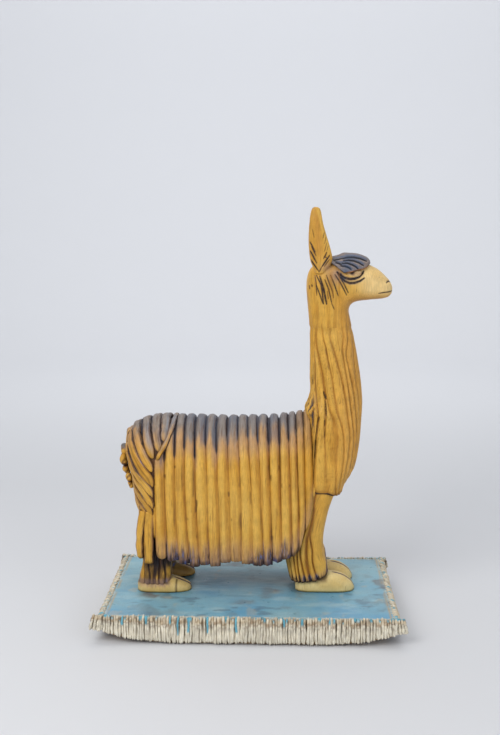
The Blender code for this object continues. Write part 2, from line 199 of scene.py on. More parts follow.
# ---- materials -------------------------------------------------------------------------------
class Wiring:
    """Adds nodes to a material and links each one to what it is made from."""

    def __init__(self, tree):
        self.nodes, self.links = tree.nodes, tree.links

    def node(self, kind, **settings):
        made = self.nodes.new("ShaderNode" + kind)
        for word, value in settings.items():
            setattr(made, word, value)
        return made

    def feed(self, socket, value):
        """Links an output to a socket, or sets it to a plain value."""
        if isinstance(value, bpy.types.NodeSocket):
            self.links.new(value, socket)
        else:
            socket.default_value = value

    def painted(self, attribute, output):
        return self.node("Attribute", attribute_name=attribute).outputs[output]

    def grain(self, vector, scale, detail=3.0):
        made = self.node("TexNoise")
        for word, value in (("Vector", vector), ("Scale", scale), ("Detail", detail), ("Roughness", 0.55)):
            self.feed(made.inputs[word], value)
        return made.outputs["Fac"]

    def stretched(self, vector, factors):
        made = self.node("VectorMath", operation="MULTIPLY")
        self.feed(made.inputs[0], vector)
        self.feed(made.inputs[1], factors)
        return made.outputs["Vector"]

    def spread(self, value, start, end, low, high):
        """Low to high as a value goes from start to end."""
        made = self.node("MapRange")
        for word, number in (("Value", value), ("From Min", start), ("From Max", end), ("To Min", low),
                             ("To Max", high)):
            self.feed(made.inputs[word], number)
        return made.outputs["Result"]

    def maths(self, kind, a, b):
        made = self.node("Math", operation=kind)
        self.feed(made.inputs[0], a)
        self.feed(made.inputs[1], b)
        return made.outputs[0]

    def blended(self, share, under, over):
        made = self.node("Mix", data_type="RGBA")
        for socket, value in (("Factor", share), (6, under), (7, (*over, 1))):
            self.feed(made.inputs[socket], value)
        return made.outputs[2]


def clay(name, rough, mottle, relief, coat=0.0):
    """Painted clay: the painted colour with a mottle, brush streaks, stains and a fine grain."""
    made = bpy.data.materials.new(name)
    made.use_nodes = True
    wire = Wiring(made.node_tree)
    shader = wire.nodes["Principled BSDF"]
    shader.inputs["Coat Weight"].default_value = coat
    shader.inputs["Specular IOR Level"].default_value = 0.32
    shader.inputs["Coat Roughness"].default_value = 0.22
    place = wire.node("TexCoord").outputs["Object"]
    lie = wire.painted("lie", "Vector")
    fine, broad = wire.grain(place, 1500.0), wire.grain(place, 110.0)
    streak = wire.grain(wire.stretched(lie, (1.7, 0.13, 1.0)), 1.0)
    scratch = wire.grain(wire.stretched(lie, (2.6, 0.16, 2.6)), 1.0, 2.0)
    dirt = wire.grain(wire.stretched(lie, (0.95, 0.060, 0.95)), 1.0)
    wash = wire.grain(wire.stretched(lie, (1.1, 0.10, 1.1)), 1.0)
    split = wire.node("SeparateXYZ")
    wire.feed(split.inputs[0], wire.painted("stain", "Vector"))
    dark, blue = split.outputs["X"], split.outputs["Y"]

    def varied(grains, much):
        return wire.spread(grains, 0.3, 0.7, 1 - mottle * much, 1 + mottle * much)

    tone = wire.maths("MULTIPLY", varied(fine, 0.5),
                      wire.maths("MULTIPLY", varied(broad, 1.0), varied(streak, 1.3)))
    tinted = wire.node("VectorMath", operation="SCALE")
    wire.feed(tinted.inputs[0], wire.painted("paint", "Color"))
    wire.feed(tinted.inputs["Scale"], tone)
    colour = tinted.outputs["Vector"]
    for grains, mark, weight, start, end, most, paint in (
            (dirt, dark, 0.40, 0.60, 0.80, 0.62, BROWN), (wash, blue, 0.8, 0.88, 1.04, 1.0, BLUE),
            (scratch, dark, 0.8, 0.88, 1.02, 0.92, BLACK)):
        reach = wire.maths("ADD", grains, wire.maths("MULTIPLY", mark, weight))
        colour = wire.blended(wire.spread(reach, start, end, 0.0, most), colour, paint)
    wire.feed(shader.inputs["Base Color"], colour)
    wire.feed(shader.inputs["Roughness"], wire.spread(broad, 0.3, 0.7, rough - 0.07, rough + 0.09))
    raised = wire.node("Bump")
    raised.inputs["Strength"].default_value = relief
    raised.inputs["Distance"].default_value = 0.0005
    wire.feed(raised.inputs["Height"], wire.maths("ADD", wire.maths("MULTIPLY", fine, 0.35), streak))
    wire.feed(shader.inputs["Normal"], raised.outputs["Normal"])
    return made


LOOKS = {
    "amber_clay": clay("amber_clay_look", 0.42, 0.10, 0.35),
    "stained_clay": clay("stained_clay_look", 0.46, 0.10, 0.35),
    "hoof_clay": clay("hoof_clay_look", 0.40, 0.06, 0.15),
    "turquoise_glaze": clay("turquoise_glaze_look", 0.34, 0.05, 0.20, 0.15),
    "fringe_clay": clay("fringe_clay_look", 0.66, 0.16, 0.8),
    "eye_clay": clay("eye_clay_look", 0.30, 0.06, 0.10, 0.3),
}


# ---- meshes ----------------------------------------------------------------------------------
def linked(name, data):
    made = bpy.data.objects.new(name, data)
    bpy.context.scene.collection.objects.link(made)
    return made


def fans(rows, cols, span, turned):
    """The triangles that close a grid's two ends, each round a pole, and their places on its map."""
    tris, maps = [], []
    step = np.arange(span)
    where = step / span
    for end, (row, v, beyond) in enumerate(((0, 0.0, -0.02), (rows - 1, 1.0, 1.02))):
        pole = np.full(span, rows * cols + end)
        tri = np.stack([row * cols + step, pole, row * cols + (step + 1) % cols], 1)
        level = np.full(span, v)
        fan = np.stack([np.c_[where, level], np.c_[where + 0.5 / span, np.full(span, beyond)],
                        np.c_[where + 1 / span, level]], 1)
        flip = -1 if (row == 0) == turned else 1
        tris.append(tri[:, ::flip])
        maps.append(fan[:, ::flip])
    return np.concatenate(tris), np.concatenate(maps)


class Piece:
    """Gathers grids of points into one mesh, each with its own patch of the bake map."""

    def __init__(self, shelves=1):
        self.shelves = shelves
        self.grids = []

    def grid(self, points, paint, lie=None, wrap=False, poles=False, away=None, stain=0.0):
        """Adds a grid of points, rows first. It is wrapped across or closed at its ends.

        away is the side that its faces look away from: a point, or each row's middle.
        """
        points = np.asarray(points, float)
        rows, cols = points.shape[:2]
        lie = points[..., [0, 2, 1]] * 1000 if lie is None else np.asarray(lie, float)
        if away is None:
            away = points.mean(axis=1, keepdims=True) if wrap else points.mean(axis=(0, 1))
        span = cols if wrap else cols - 1
        r = np.repeat(np.arange(rows - 1), span)
        c = np.tile(np.arange(span), rows - 1)
        d = (c + 1) % cols
        quads = np.stack([r * cols + c, r * cols + d, (r + 1) * cols + d, (r + 1) * cols + c], 1)
        u0, u1, v0, v1 = c / span, (c + 1) / span, r / (rows - 1), (r + 1) / (rows - 1)
        uv = np.stack([u0, v0, u1, v0, u1, v1, u0, v1], 1).reshape(-1, 4, 2)
        flat = points.reshape(-1, 3)
        face = flat[quads]
        normal = np.cross(face[:, 2] - face[:, 0], face[:, 3] - face[:, 1])
        out = face.mean(axis=1) - np.broadcast_to(away, points.shape).reshape(-1, 3)[quads[:, 0]]
        turned = float((normal * out).sum()) < 0
        if turned:
            quads, uv = quads[:, ::-1], uv[:, ::-1]
        coats = [np.broadcast_to(coat, points.shape).reshape(-1, 3) for coat in (paint, lie, stain)]
        tris, tri_uv = np.zeros((0, 3), int), np.zeros((0, 3, 2))
        if poles:
            tris, tri_uv = fans(rows, cols, span, turned)
            flat = np.concatenate([flat, points[[0, -1]].mean(axis=1)])
            coats = [np.concatenate([coat, coat[[0, (rows - 1) * cols]]]) for coat in coats]
        self.grids.append((flat, quads, uv, tris, tri_uv, coats))

    def build(self, name, slot, *nodes):
        shelf_size = math.ceil(len(self.grids) / self.shelves)
        verts, faces, uvs, layers = [], [], [], []
        start = 0
        size = np.array([1 / shelf_size, 1 / self.shelves])
        for i, (flat, quads, uv, tris, tri_uv, coats) in enumerate(self.grids):
            shelf, place = divmod(i, shelf_size)
            low = np.array([place / shelf_size, shelf / self.shelves])
            verts.append(flat)
            faces += (quads + start).tolist() + (tris + start).tolist()
            uvs += [(low + size * (0.04 + 0.92 * part)).reshape(-1, 2) for part in (uv, tri_uv)]
            layers.append(coats)
            start += len(flat)
        mesh = bpy.data.meshes.new(name)
        mesh.from_pydata(np.concatenate(verts).tolist(), [], faces)
        layer = mesh.uv_layers.new(name="OFBake")
        layer.data.foreach_set("uv", np.concatenate(uvs).astype(np.float32).ravel())
        return dress(mesh, [np.concatenate(coat) for coat in zip(*layers)], name, slot, *nodes)


def dress(mesh, coats, name, slot, *nodes):
    """Gives a mesh its paint, its streaks' lie, its stains and its material."""
    paint = np.c_[coats[0], np.ones(len(coats[0]))]
    colour = mesh.attributes.new("paint", "FLOAT_COLOR", "POINT")
    colour.data.foreach_set("color", paint.astype(np.float32).ravel())
    for word, coat in (("lie", coats[1]), ("stain", coats[2])):
        layer = mesh.attributes.new(word, "FLOAT_VECTOR", "POINT")
        layer.data.foreach_set("vector", coat.astype(np.float32).ravel())
    mesh.shade_smooth()
    mesh.materials.append(LOOKS[slot])
    made = linked(name, mesh)
    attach(made, "root")
    if nodes:
        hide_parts(*nodes)
    return made


def sweep(path, up, half, height, around=20, under=0.35, power=2.0, crease=None):
    """A strip along a path: half its width to each side, its height along up.

    crease is the place across it, -1 to 1, and the depth of a groove that runs along it.
    """
    path, up = np.asarray(path, float), unit(np.asarray(up, float))
    tangent = unit(np.gradient(path, axis=0))
    side = unit(np.cross(up, tangent))
    up = unit(np.cross(tangent, side))
    u, v = superellipse(np.arange(around) * 2 * math.pi / around, power)
    if crease:
        v = np.where(v > 0, v * (1 - crease[1] * bump(u, crease[0], 0.20)), v)
    v = np.where(v < 0, v * under, v)
    half, height = np.asarray(half, float), np.asarray(height, float)
    return (path[:, None] + side[:, None] * (half[:, None] * u)[..., None]
            + up[:, None] * (height[:, None] * v)[..., None])


def rounded_ends(count, start, end):
    """A width from 0 to 1 along a strip, rounded off over the given shares of its length."""
    t = np.linspace(0, 1, count)
    low = np.sqrt(1 - np.clip(1 - t / max(start, 1e-6), 0, 1) ** 2 * 0.96) if start else 1.0
    high = np.sqrt(1 - np.clip(1 - (1 - t) / max(end, 1e-6), 0, 1) ** 2 * 0.96) if end else 1.0
    return low * high


def groove(x, z, line, width):
    """How near points are to a line seen from the side: 1 on it, falling to 0 about two widths away.

    It is narrower towards both of the line's ends.
    """
    line = np.asarray(line, float)
    steps = np.linalg.norm(np.diff(line, axis=0), axis=1)
    total = steps.sum()
    best = np.full(np.shape(x), 9.0)
    share = np.zeros(np.shape(x))
    gone = 0.0
    for (ax, az), (bx, bz), step in zip(line, line[1:], steps):
        t = np.clip(((x - ax) * (bx - ax) + (z - az) * (bz - az)) / step ** 2, 0, 1)
        far = np.hypot(x - ax - t * (bx - ax), z - az - t * (bz - az))
        nearer = far < best
        best = np.where(nearer, far, best)
        share = np.where(nearer, (gone + t * step) / total, share)
        gone += step
    taper = 0.45 + 0.55 * np.sin(math.pi * np.clip(share, 0.02, 0.98)) ** 0.5
    return np.exp(-(best / (width * taper)) ** 2 * 1.6) * (best < width * 3)


def corner_share(x):
    """How far along the curl of the slab's corners a place along x is, from 0 to 1."""
    return np.clip((np.abs(x) - 0.070) / (SLAB_X - 0.070), 0, 1) ** 1.8


# ---- trunk: coils draped over the back -----------------------------------------------------
# The line of the back, as (x, z), and how far below it the arch of the trunk is at its widest.
BACK_LINE = [(-0.091, 0.1912), (-0.065, 0.1925), (-0.010, 0.1918), (0.034, 0.1943),
             (0.047, 0.1963), (0.057, 0.1985)]
SHOULDER = 0.072
# Each coil's middle on the back, half-way down and at its hem, and the height of its end.
COILS = [
    (-0.0850, -0.0847, -0.0834, 0.0612),
    (-0.0745, -0.0738, -0.0713, 0.0592),
    (-0.0659, -0.0651, -0.0615, 0.0562),
    (-0.0569, -0.0552, -0.0516, 0.0538),
    (-0.0473, -0.0449, -0.0421, 0.0552),
    (-0.0373, -0.0344, -0.0325, 0.0540),
    (-0.0272, -0.0239, -0.0230, 0.0577),
    (-0.0168, -0.0134, -0.0131, 0.0592),
    (-0.0077, -0.0034, -0.0024, 0.0572),
    (0.0018, 0.0066, 0.0084, 0.0552),
    (0.0114, 0.0152, 0.0170, 0.0560),
    (0.0214, 0.0241, 0.0265, 0.0592),
    (0.0314, 0.0346, 0.0361, 0.0640),
    (0.0389, 0.0419, 0.0438, 0.0725),
    (0.0458, 0.0484, 0.0497, 0.0840),
    (0.0530, 0.0550, 0.0562, 0.1130),
]
# Where the hem climbs to the shoulder, as (x, z).
HEM_CLIMB = [(0.0270, 0.0590), (0.0320, 0.0610), (0.0390, 0.0640), (0.0432, 0.0665), (0.0468, 0.0725),
             (0.0494, 0.0800), (0.0512, 0.0865), (0.0530, 0.0915), (0.0562, 0.0985), (0.0583, 0.1060),
             (0.0604, 0.1180), (0.0640, 0.1250)]
# Between two coils, how far down the open slot reaches and half its width.
SLOTS = [(0.152, 0.0008), (0.156, 0.0007), (0.163, 0.0006), (0.155, 0.0006), (0.166, 0.0005),
         (0.160, 0.0005), (0.177, 0.0005), (0.174, 0.0004), (0.174, 0.0005), (0.169, 0.0009),
         (0.169, 0.0009), (0.168, 0.0006), (0.172, 0.0006), (0.180, 0.0004), (0.184, 0.0003)]
# Places across a coil, from one edge to the other.
ACROSS = np.array([-1, -0.97, -0.90, -0.78, -0.63, -0.47, -0.31, -0.15, 0,
                   0.15, 0.31, 0.47, 0.63, 0.78, 0.90, 0.97, 1])
# How far in from the coat its two ends are turned, and how far out along the body.
TURNED = [(0.0006, 0.0003), (0.0020, 0.0005), (0.0045, 0.0004), (0.0100, -0.0004), (0.0160, -0.0020)]
# How the hem turns in under the coat: how far in and up each step is, and how dark its painted shade is.
HEM_TURNS = ((0.0007, -0.0004), (0.0020, -0.0002), (0.0034, 0.0012), (0.0038, 0.0050), (0.0040, 0.0120))
HEM_SHADE = np.array([0.3, 0.6, 0.9, 1, 1])
COAT_ROWS = 132
# The front edge of the strips on the rump, as (z, x).
RUMP_EDGE = [(0.104, -0.0905), (0.110, -0.0885), (0.128, -0.0892), (0.140, -0.0895), (0.149, -0.0905),
             (0.155, -0.0898), (0.1585, -0.0862), (0.1635, -0.0835), (0.169, -0.0800), (0.174, -0.0783),
             (0.1815, -0.0758), (0.185, -0.0738), (0.192, -0.0700), (0.200, -0.0670)]
# How strongly the hem is stained along the body.
HEM_STAIN = [(-0.086, 0.02), (-0.0795, 0.10), (-0.0770, 0.80), (-0.070, 1.0), (-0.052, 1.0), (-0.044, 0.65),
             (-0.030, 0.34), (-0.004, 0.30), (0.001, 0.55), (0.006, 0.95), (0.020, 1.0), (0.032, 0.95),
             (0.040, 0.70), (0.060, 0.5)]


def arch(drop, half, shoulder):
    """Half the width of an arch at a drop below its top."""
    level = np.clip(drop / shoulder, 0, 1)
    return half * (1 - (1 - level) ** 2.3) ** (1 / 2.3)


def coil_middle(k, z, side):
    """Where a coil's middle line is along x at heights."""
    top, mid, hem, _ = COILS[k]
    x = curve([(0.052, hem), (0.120, mid), (0.192, top)], z)
    sway = 0.0005 * noise(z * 28, k * 7.3, side * 3.1, 5) + 0.0007 * noise(z * 9, k * 5.1, side * 2.2, 15)
    if side > 0:
        x = x + 0.0014 * noise(z * 12, k * 3.7, 2.2, 9) * below(z, 0.19, 0.02)
    return x + sway


def trunk_columns():
    """The columns of the coat: coil, place across it, whether it is a gap, inset and outset."""
    last = len(COILS) - 1
    columns = [(0, -1.0, False, inset, -outset) for inset, outset in TURNED[::-1]]
    for k in range(last + 1):
        columns += [(k, q, False, 0.0, 0.0) for q in ACROSS]
        if k < last:
            columns.append((k, 1.0, True, 0.0, 0.0))
    return columns + [(last, 1.0, False, inset, outset) for inset, outset in TURNED]


def coil_end(k, q, gap, side):
    """The height of the coat's hem in one column."""
    end = COILS[k][3] + (0.0015 * noise(k * 3.3, 4.1) if side > 0 else 0.0)
    tip = 0.0045 if k in (0, 13, 14, 15) else 0.0006
    if gap:
        if k < 11:
            end = max(end, COILS[k + 1][3])
        else:
            end = float(curve(HEM_CLIMB, COILS[k][2] + 0.0044)) - 0.0012
        uneven = 0.0024 * max(0.0, float(noise(k * 5.1, side)))
        return end + (0.0160 if k == 0 else tip + 0.0002 + uneven)
    if k >= 12:
        return float(curve(HEM_CLIMB, COILS[k][2] + q * 0.0042)) + 0.0006 * abs(q) ** 4
    end += tip * (1 - math.sqrt(max(0.0, 1 - abs(q) ** 2.4)))
    return end + 0.0011 * float(noise(k * 9.1 + q * 3.4, side * 2.0, 0.5, 3))


def hang(top, end):
    """A line that hangs from the back to the hem: its drop, half width and length so far."""
    drop = (top - end) * np.linspace(0, 1, 260) ** 1.7
    wide = arch(drop, TRUNK_HALF + 0.0001, SHOULDER)
    length = np.r_[0, np.cumsum(np.hypot(np.diff(drop), np.diff(wide)))]
    at = np.linspace(0, length[-1], COAT_ROWS)
    return np.interp(at, length, drop), np.interp(at, length, wide), at


def coil_edges(k, z, side):
    """A coil's two edges, its seam with the next one, and how open the slots beside it are."""
    last = len(COILS) - 1
    x_mid = coil_middle(k, z, side)
    before = coil_middle(k - 1, z, side) if k else x_mid - 0.0095
    after = coil_middle(k + 1, z, side) if k < last else x_mid + 0.0080
    left, seam = (before + x_mid) / 2, (after + x_mid) / 2
    right = seam
    open_left = open_right = np.zeros(len(z))
    if k:
        low, half = SLOTS[k - 1]
        open_left = ramp(z, low, low + 0.006)
        left = left + half * open_left
    if k < last:
        low, half = SLOTS[k]
        open_right = ramp(z, low, low + 0.006)
        right = seam - half * open_right
    return left, right, seam, open_left, open_right


def coil_sunk(x, z, k, q, side, gap, open_right):
    """How far a column lies below its coil's crest."""
    high = ramp(z, 0.128, 0.176)
    firm = 0.75 + 0.80 * noise(z * 15, (k + (1 if q > 0 else 0)) * 6.1, side, 7)
    deep = (0.0013 + 0.0004 * float(ramp(x[-1], 0.010, 0.030))) * np.clip(firm, 0.25, 1.5)
    deep = deep + 0.0019 * high + 0.0003 * below(z, 0.072, 0.014)
    worn = bump(z, 0.098, 0.030) * float(bump(x[-1], -0.006, 0.036))
    deep = deep * (1 - 0.45 * worn)
    if gap:
        return deep + 0.0005 * open_right
    skew = abs((q + 0.16) / (1.16 if q > -0.16 else 0.84))
    power = 2.4 - 0.5 * high
    steep = 1 - (1 - skew ** power + 1e-9) ** (1 / power)
    return deep * (steep * (0.15 + 0.85 * high) + skew ** 2.4 * 0.85 * (1 - high))


def coil_swell(x, z, k, side):
    """A coil's gentle rise and fall, its fine folds and the bulge low on the rearmost one."""
    swell = 0.0004 * noise(z * 22, k * 4.4, side, 6) + 0.0003 * noise(k * 5.5, side, 1.0)
    fold = 0.00034 * noise(x * 520, z * 20, 2.0, 8) + 0.00016 * noise(x * 1100, z * 60, 3.0, 9)
    bulge = 0.0012 * bump(z, 0.085, 0.016) if k == 0 else 0.0
    return swell * below(z, 0.19, 0.02) + fold * (0.7 + below(z, 0.072, 0.014)) + bulge


def coat_column(side, k, q, gap, inset, outset):
    """One column of the coat, down to the hem and in under it: points, paint, lie and stain."""
    end = coil_end(k, q, gap, side)
    top = float(curve(BACK_LINE, 0.5 * (COILS[k][0] + COILS[k][1]) + q * 0.0045))
    drop, wide, at = hang(top, end)
    z = top - drop
    left, right, seam, open_left, open_right = coil_edges(k, z, side)
    x = seam if gap else (left + right) / 2 + q * (right - left) / 2
    wide = wide - 0.0045 * ramp(x, 0.040, 0.062) * ramp(drop, 0.0, 0.030)
    covered = ramp(curve(RUMP_EDGE, z) - x, -0.0004, 0.0012) * ramp(z, 0.149, 0.152)
    out = coil_swell(x, z, k, side) - coil_sunk(x, z, k, q, side, gap, open_right) - inset - 0.0034 * covered
    normal = unit(np.stack([np.gradient(drop), np.gradient(wide)], -1))
    y = wide + normal[:, 0] * out
    z_out = z + normal[:, 1] * out
    points = np.stack([x + outset, BODY_Y + side * y, z_out], -1)
    hem = [(x[-1] + outset, BODY_Y + side * (y[-1] - inward), z_out[-1] + up) for inward, up in HEM_TURNS]
    tone, marks = paint_coil(x, z, q, k, side, gap, open_right, open_left, end)
    # painted shade, black, where the coat runs in under the rump's strips and on its ends that turn in
    tone = mix(tone, BLACK, np.maximum(covered, min(inset / 0.010, 0.9)))
    lie = np.stack([x * 1000 + k * 9, at * 1000, 0 * x + side * 20], -1)
    under = (len(HEM_TURNS), 1)
    return [np.concatenate(pair) for pair in (
        (points, hem), (tone, mix(tone[-1], BLACK, HEM_SHADE)), (lie, np.tile(lie[-1], under)),
        (marks, np.tile(marks[-1], under)))]


def build_trunk():
    """The coat as one skin, up one side, over the back and down the other."""
    sides = []
    for side in (-1, 1):
        columns = [coat_column(side, *column) for column in trunk_columns()]
        sides.append([np.stack(part, axis=1) for part in zip(*columns)])
    points, paint, lie, stain = (np.concatenate([near[::-1], far[1:]]) for near, far in zip(*sides))
    piece = Piece()
    piece.grid(points, paint, lie, away=np.array([-0.015, BODY_Y, 0.10]), stain=stain)
    piece.build("coat_trunk", "amber_clay", "trunk")


def coil_clay(x, z, q, k, side):
    """The colour of a coil's column with a painted highlight on its crest, how deep glaze pools and painted
    shade lie there, and its drift.
    """
    ks = k * 5.7 + side * 31
    edge = abs(q)
    drift = fbm(z * 26, ks, 0.3, 11)
    crest = float(bump(q, -0.30, 0.48))
    lit = 0.20 + 0.45 * drift + 0.45 * crest + 0.30 * bump(z, 0.095, 0.026) * bump(x, -0.010, 0.045)
    tone = mix(AMBER, AMBER_LIT, lit)
    # painted shade in the hollows of the fine folds
    crease = ramp(-noise(x * 520, z * 20, 2.0, 8), 0.25, 0.75)
    tone = mix(tone, AMBER_DEEP, crease * 0.40)
    # darker amber over each coil's right half and at its left edge: glaze pooled by the grooves, and painted
    # shade on the side away from the light
    vary = 0.75 + 0.40 * noise(z * 24, ks + round(q), 1.0, 12) + 0.15 * np.sign(x - 0.012)
    pool_and_shade = float(ramp(q, 0.20, 0.80)) * vary + float(ramp(-q, 0.80, 1.0)) * 0.6 * vary
    pool_and_shade = pool_and_shade * (1 - 0.40 * bump(z, 0.098, 0.030) * bump(x, -0.006, 0.036))
    tone = mix(tone, AMBER_DEEP, np.clip(pool_and_shade, 0, 1) * 0.85)
    bite = float(ramp(edge, 0.72, 1.0)) * ramp(noise(z * 26, ks + round(q), 9.0, 13), 0.05, 0.60)
    tone = mix(tone, BROWN, bite * (0.45 + 0.30 * ramp(x, 0.005, 0.03)))
    blot = ramp(noise(z * 30, x * 170, side, 29), 0.52, 0.80) * float(ramp(q, 0.1, 0.6))
    tone = mix(tone, BROWN, blot * 0.55 * below(z, 0.158, 0.010))
    speck = ramp(noise(z * 120, x * 300, side, 20), 0.62, 0.85) * float(ramp(edge, 0.5, 0.9))
    return mix(tone, BROWN, speck * 0.8), pool_and_shade, drift


def coil_wash(tone, x, z, k, side, line):
    """The wash over the back above a line: pinkish brown, then grey, with slate blots."""
    ks = k * 5.7 + side * 31
    tone = mix(tone, TAN, ramp(z, line - 0.020, line + 0.002) * 0.85)
    tone = mix(tone, GREY, ramp(z + 0.006 * noise(x * 420, z * 60, ks, 14), line, line + 0.014) * 0.9)
    tone = mix(tone, SLATE, ramp(z, 0.184, 0.192) * (0.30 + 0.4 * noise(x * 260, k * 2.2, side, 25)))
    blots = ramp(noise(x * 240, z * 45, side, 26), 0.15, 0.6) * ramp(z, line - 0.012, line + 0.004)
    tone = mix(tone, SLATE, blots * 0.55)
    return mix(tone, AMBER, 0.30 + 0.30 * (k - 14)) if k >= 14 else tone


def coil_slots(tone, z, q, k, side, gap, open_right, open_left):
    """The slate stain in the open slots beside a coil, with painted shade, black, low in them."""
    sill = 1.0 if gap else float(ramp(abs(q), 0.74, 1.0))
    uneven = 0.60 + 0.5 * noise(z * 60, k * 5.7 + side * 31, 6.0, 30)
    if q > 0:
        tone = mix(tone, SLATE, open_right * sill * 0.80)
        tone = mix(tone, SLATE_DEEP, open_right * sill * uneven)
        return mix(tone, BLACK, open_right * sill * (1 - ramp(z, 0.174, 0.188)) * (0.75 if k < 2 else 0.25))
    return mix(tone, SLATE_DEEP, open_left * sill * 0.5 * uneven)


def coil_hem(tone, x, z, q, k, side, gap, end):
    """The stained hem with painted shade along its lower edge and in the gaps at its ends, how strongly each
    point is in it, and how strong the stain is there.
    """
    ks = k * 5.7 + side * 31
    zone = curve(HEM_STAIN, x) * (1.0 if k < 13 else (0.6, 0.12, 0.0)[k - 13])
    tone = mix(tone, TAN, below(z, end + 0.030, 0.022) * 0.45)
    ragged = 0.008 * noise(x * 330, ks, 3.0, 16)
    hem = (1.0 if k < 15 else 0.2) * below(z, end + 0.021 + ragged, 0.016)
    fine = noise(x * 1000, z * 45, ks, 17)
    tone = mix(tone, MAUVE, hem * np.clip(0.42 + 0.6 * fine, 0, 1) * (0.40 + 0.55 * zone))
    pale = ramp(noise(x * 800, z * 40, ks, 18), 0.20, 0.7) * ramp(z, end, end + 0.005)
    tone = mix(tone, LILAC, hem * zone * pale * 0.6)
    soot = ramp(noise(x * 700, z * 36, ks, 27), -0.05, 0.45)
    smoke = below(z, end + 0.011, 0.012) * zone
    tone = mix(tone, VIOLET, smoke * np.clip(0.45 + 0.45 * soot, 0, 1) * 0.80)
    tone = mix(tone, SLATE_DEEP, hem ** 1.5 * zone * soot * 0.55)
    # painted shade, black, along the hem's lower edge, with patches of blue stain in it
    lip = below(z, end + 0.0050, 0.0034) * (0.45 + 0.55 * zone) * (1.0 if k < 14 else 0.5)
    tone = mix(tone, BLACK, lip * np.clip(0.72 + 0.5 * noise(x * 500, 1.0, ks, 19), 0, 1))
    tone = mix(tone, INK_BLUE, lip * zone * ramp(noise(x * 330, 2.0, ks, 21), 0.05, 0.4) * 0.75)
    # painted shade, black, in the gaps between the coils' ends
    if gap or abs(q) > 0.9:
        tone = mix(tone, BLACK, below(z, end + 0.009, 0.008) * (0.4 + 0.5 * zone))
    return tone, hem, zone


def paint_coil(x, z, q, k, side, gap, open_right, open_left, end):
    """The colour of one coil's column of points, and its dark and blue stains."""
    tone, pool_and_shade, drift = coil_clay(x, z, q, k, side)
    line = 0.1725 + 0.005 * ramp(x, -0.010, 0.030) - 0.005 * q ** 2 + 0.006 * drift
    line = line - 0.012 * ramp(-x, 0.010, 0.040) * ramp(noise(x * 180, z * 22, side, 24), -0.2, 0.5)
    tone = coil_wash(tone, x, z, k, side, line)
    tone = coil_slots(tone, z, q, k, side, gap, open_right, open_left)
    tone, hem, zone = coil_hem(tone, x, z, q, k, side, gap, end)
    # painted shade, black, low beside the coil by the front leg and at the rearmost coil's edge by the hind
    # leg
    if k == 14 and (gap or q > 0.8):
        tone = mix(tone, BLACK, below(z, 0.126, 0.010) * (0.9 if gap else 0.6))
    if k == 0 and q > 0.6:
        tone = mix(tone, BLACK, below(z, 0.084, 0.010) * ramp(q, 0.6, 0.95))
    dark = hem * (0.16 + 0.24 * zone) + 0.22 * ramp(z, 0.160, 0.180) * (0.6 + 0.6 * abs(q))
    # the dark stain rises with the pooled glaze and the painted shade
    dark = dark + 0.18 * np.clip(pool_and_shade, 0, 1) + 0.05
    blue = hem * (0.08 + 0.36 * zone) * ramp(z, end, end + 0.006)
    return tone, stains(dark, np.maximum(blue, 0.12 * ramp(z, line - 0.01, line + 0.01)))


def build_core():
    """The dark inside, a painted shade that shows between the strips and under the hem."""
    rows, around = 40, 48
    bottom, power = 0.071, 2.6
    points = np.zeros((rows, around, 3))
    u, v = superellipse(turn_of(around), power)
    for i, x in enumerate(np.linspace(-0.104, 0.064, rows)):
        ends = min(1.0, 0.5 + min(i, rows - 1 - i) / 5)
        top = 0.176 if x > -0.09 else 0.165
        points[i] = np.stack([np.full(around, x), BODY_Y + 0.0310 * ends * u,
                              (top + bottom) / 2 + (top - bottom) / 2 * v], -1)
    piece = Piece()
    piece.grid(points, srgb(38, 26, 20), wrap=True, poles=True)
    piece.build("belly_shade", "amber_clay")


# ---- rump: strips that sweep down over the hindquarters ---------------------------------------
# The top of the rump, as (x, z).
RUMP_TOP = [(-0.1206, 0.1680), (-0.1196, 0.1745), (-0.1171, 0.1806), (-0.1098, 0.1874),
            (-0.1008, 0.1912), (-0.0900, 0.1931), (-0.0770, 0.1930), (-0.0660, 0.1930)]
# The rearmost line of the rump, as (z, x).
RUMP_REAR = [(0.100, -0.1072), (0.105, -0.1090), (0.111, -0.1106), (0.121, -0.1122), (0.132, -0.1140),
             (0.1385, -0.1154), (0.143, -0.1168), (0.149, -0.1188), (0.157, -0.1201), (0.165, -0.1207),
             (0.170, -0.1204), (0.1745, -0.1195), (0.1806, -0.1171), (0.1874, -0.1098),
             (0.1912, -0.1008), (0.1931, -0.0900), (0.1940, -0.0760)]
# How far forward the rounding of its rear corners reaches.
RUMP_ROUND = 0.0230
# How far a strip's middle line lies under the form of the rump.
STRIP_SUNK = 0.0031
# How square a strip's section is: 2 is an ellipse.
STRIP_POWER = 2.4
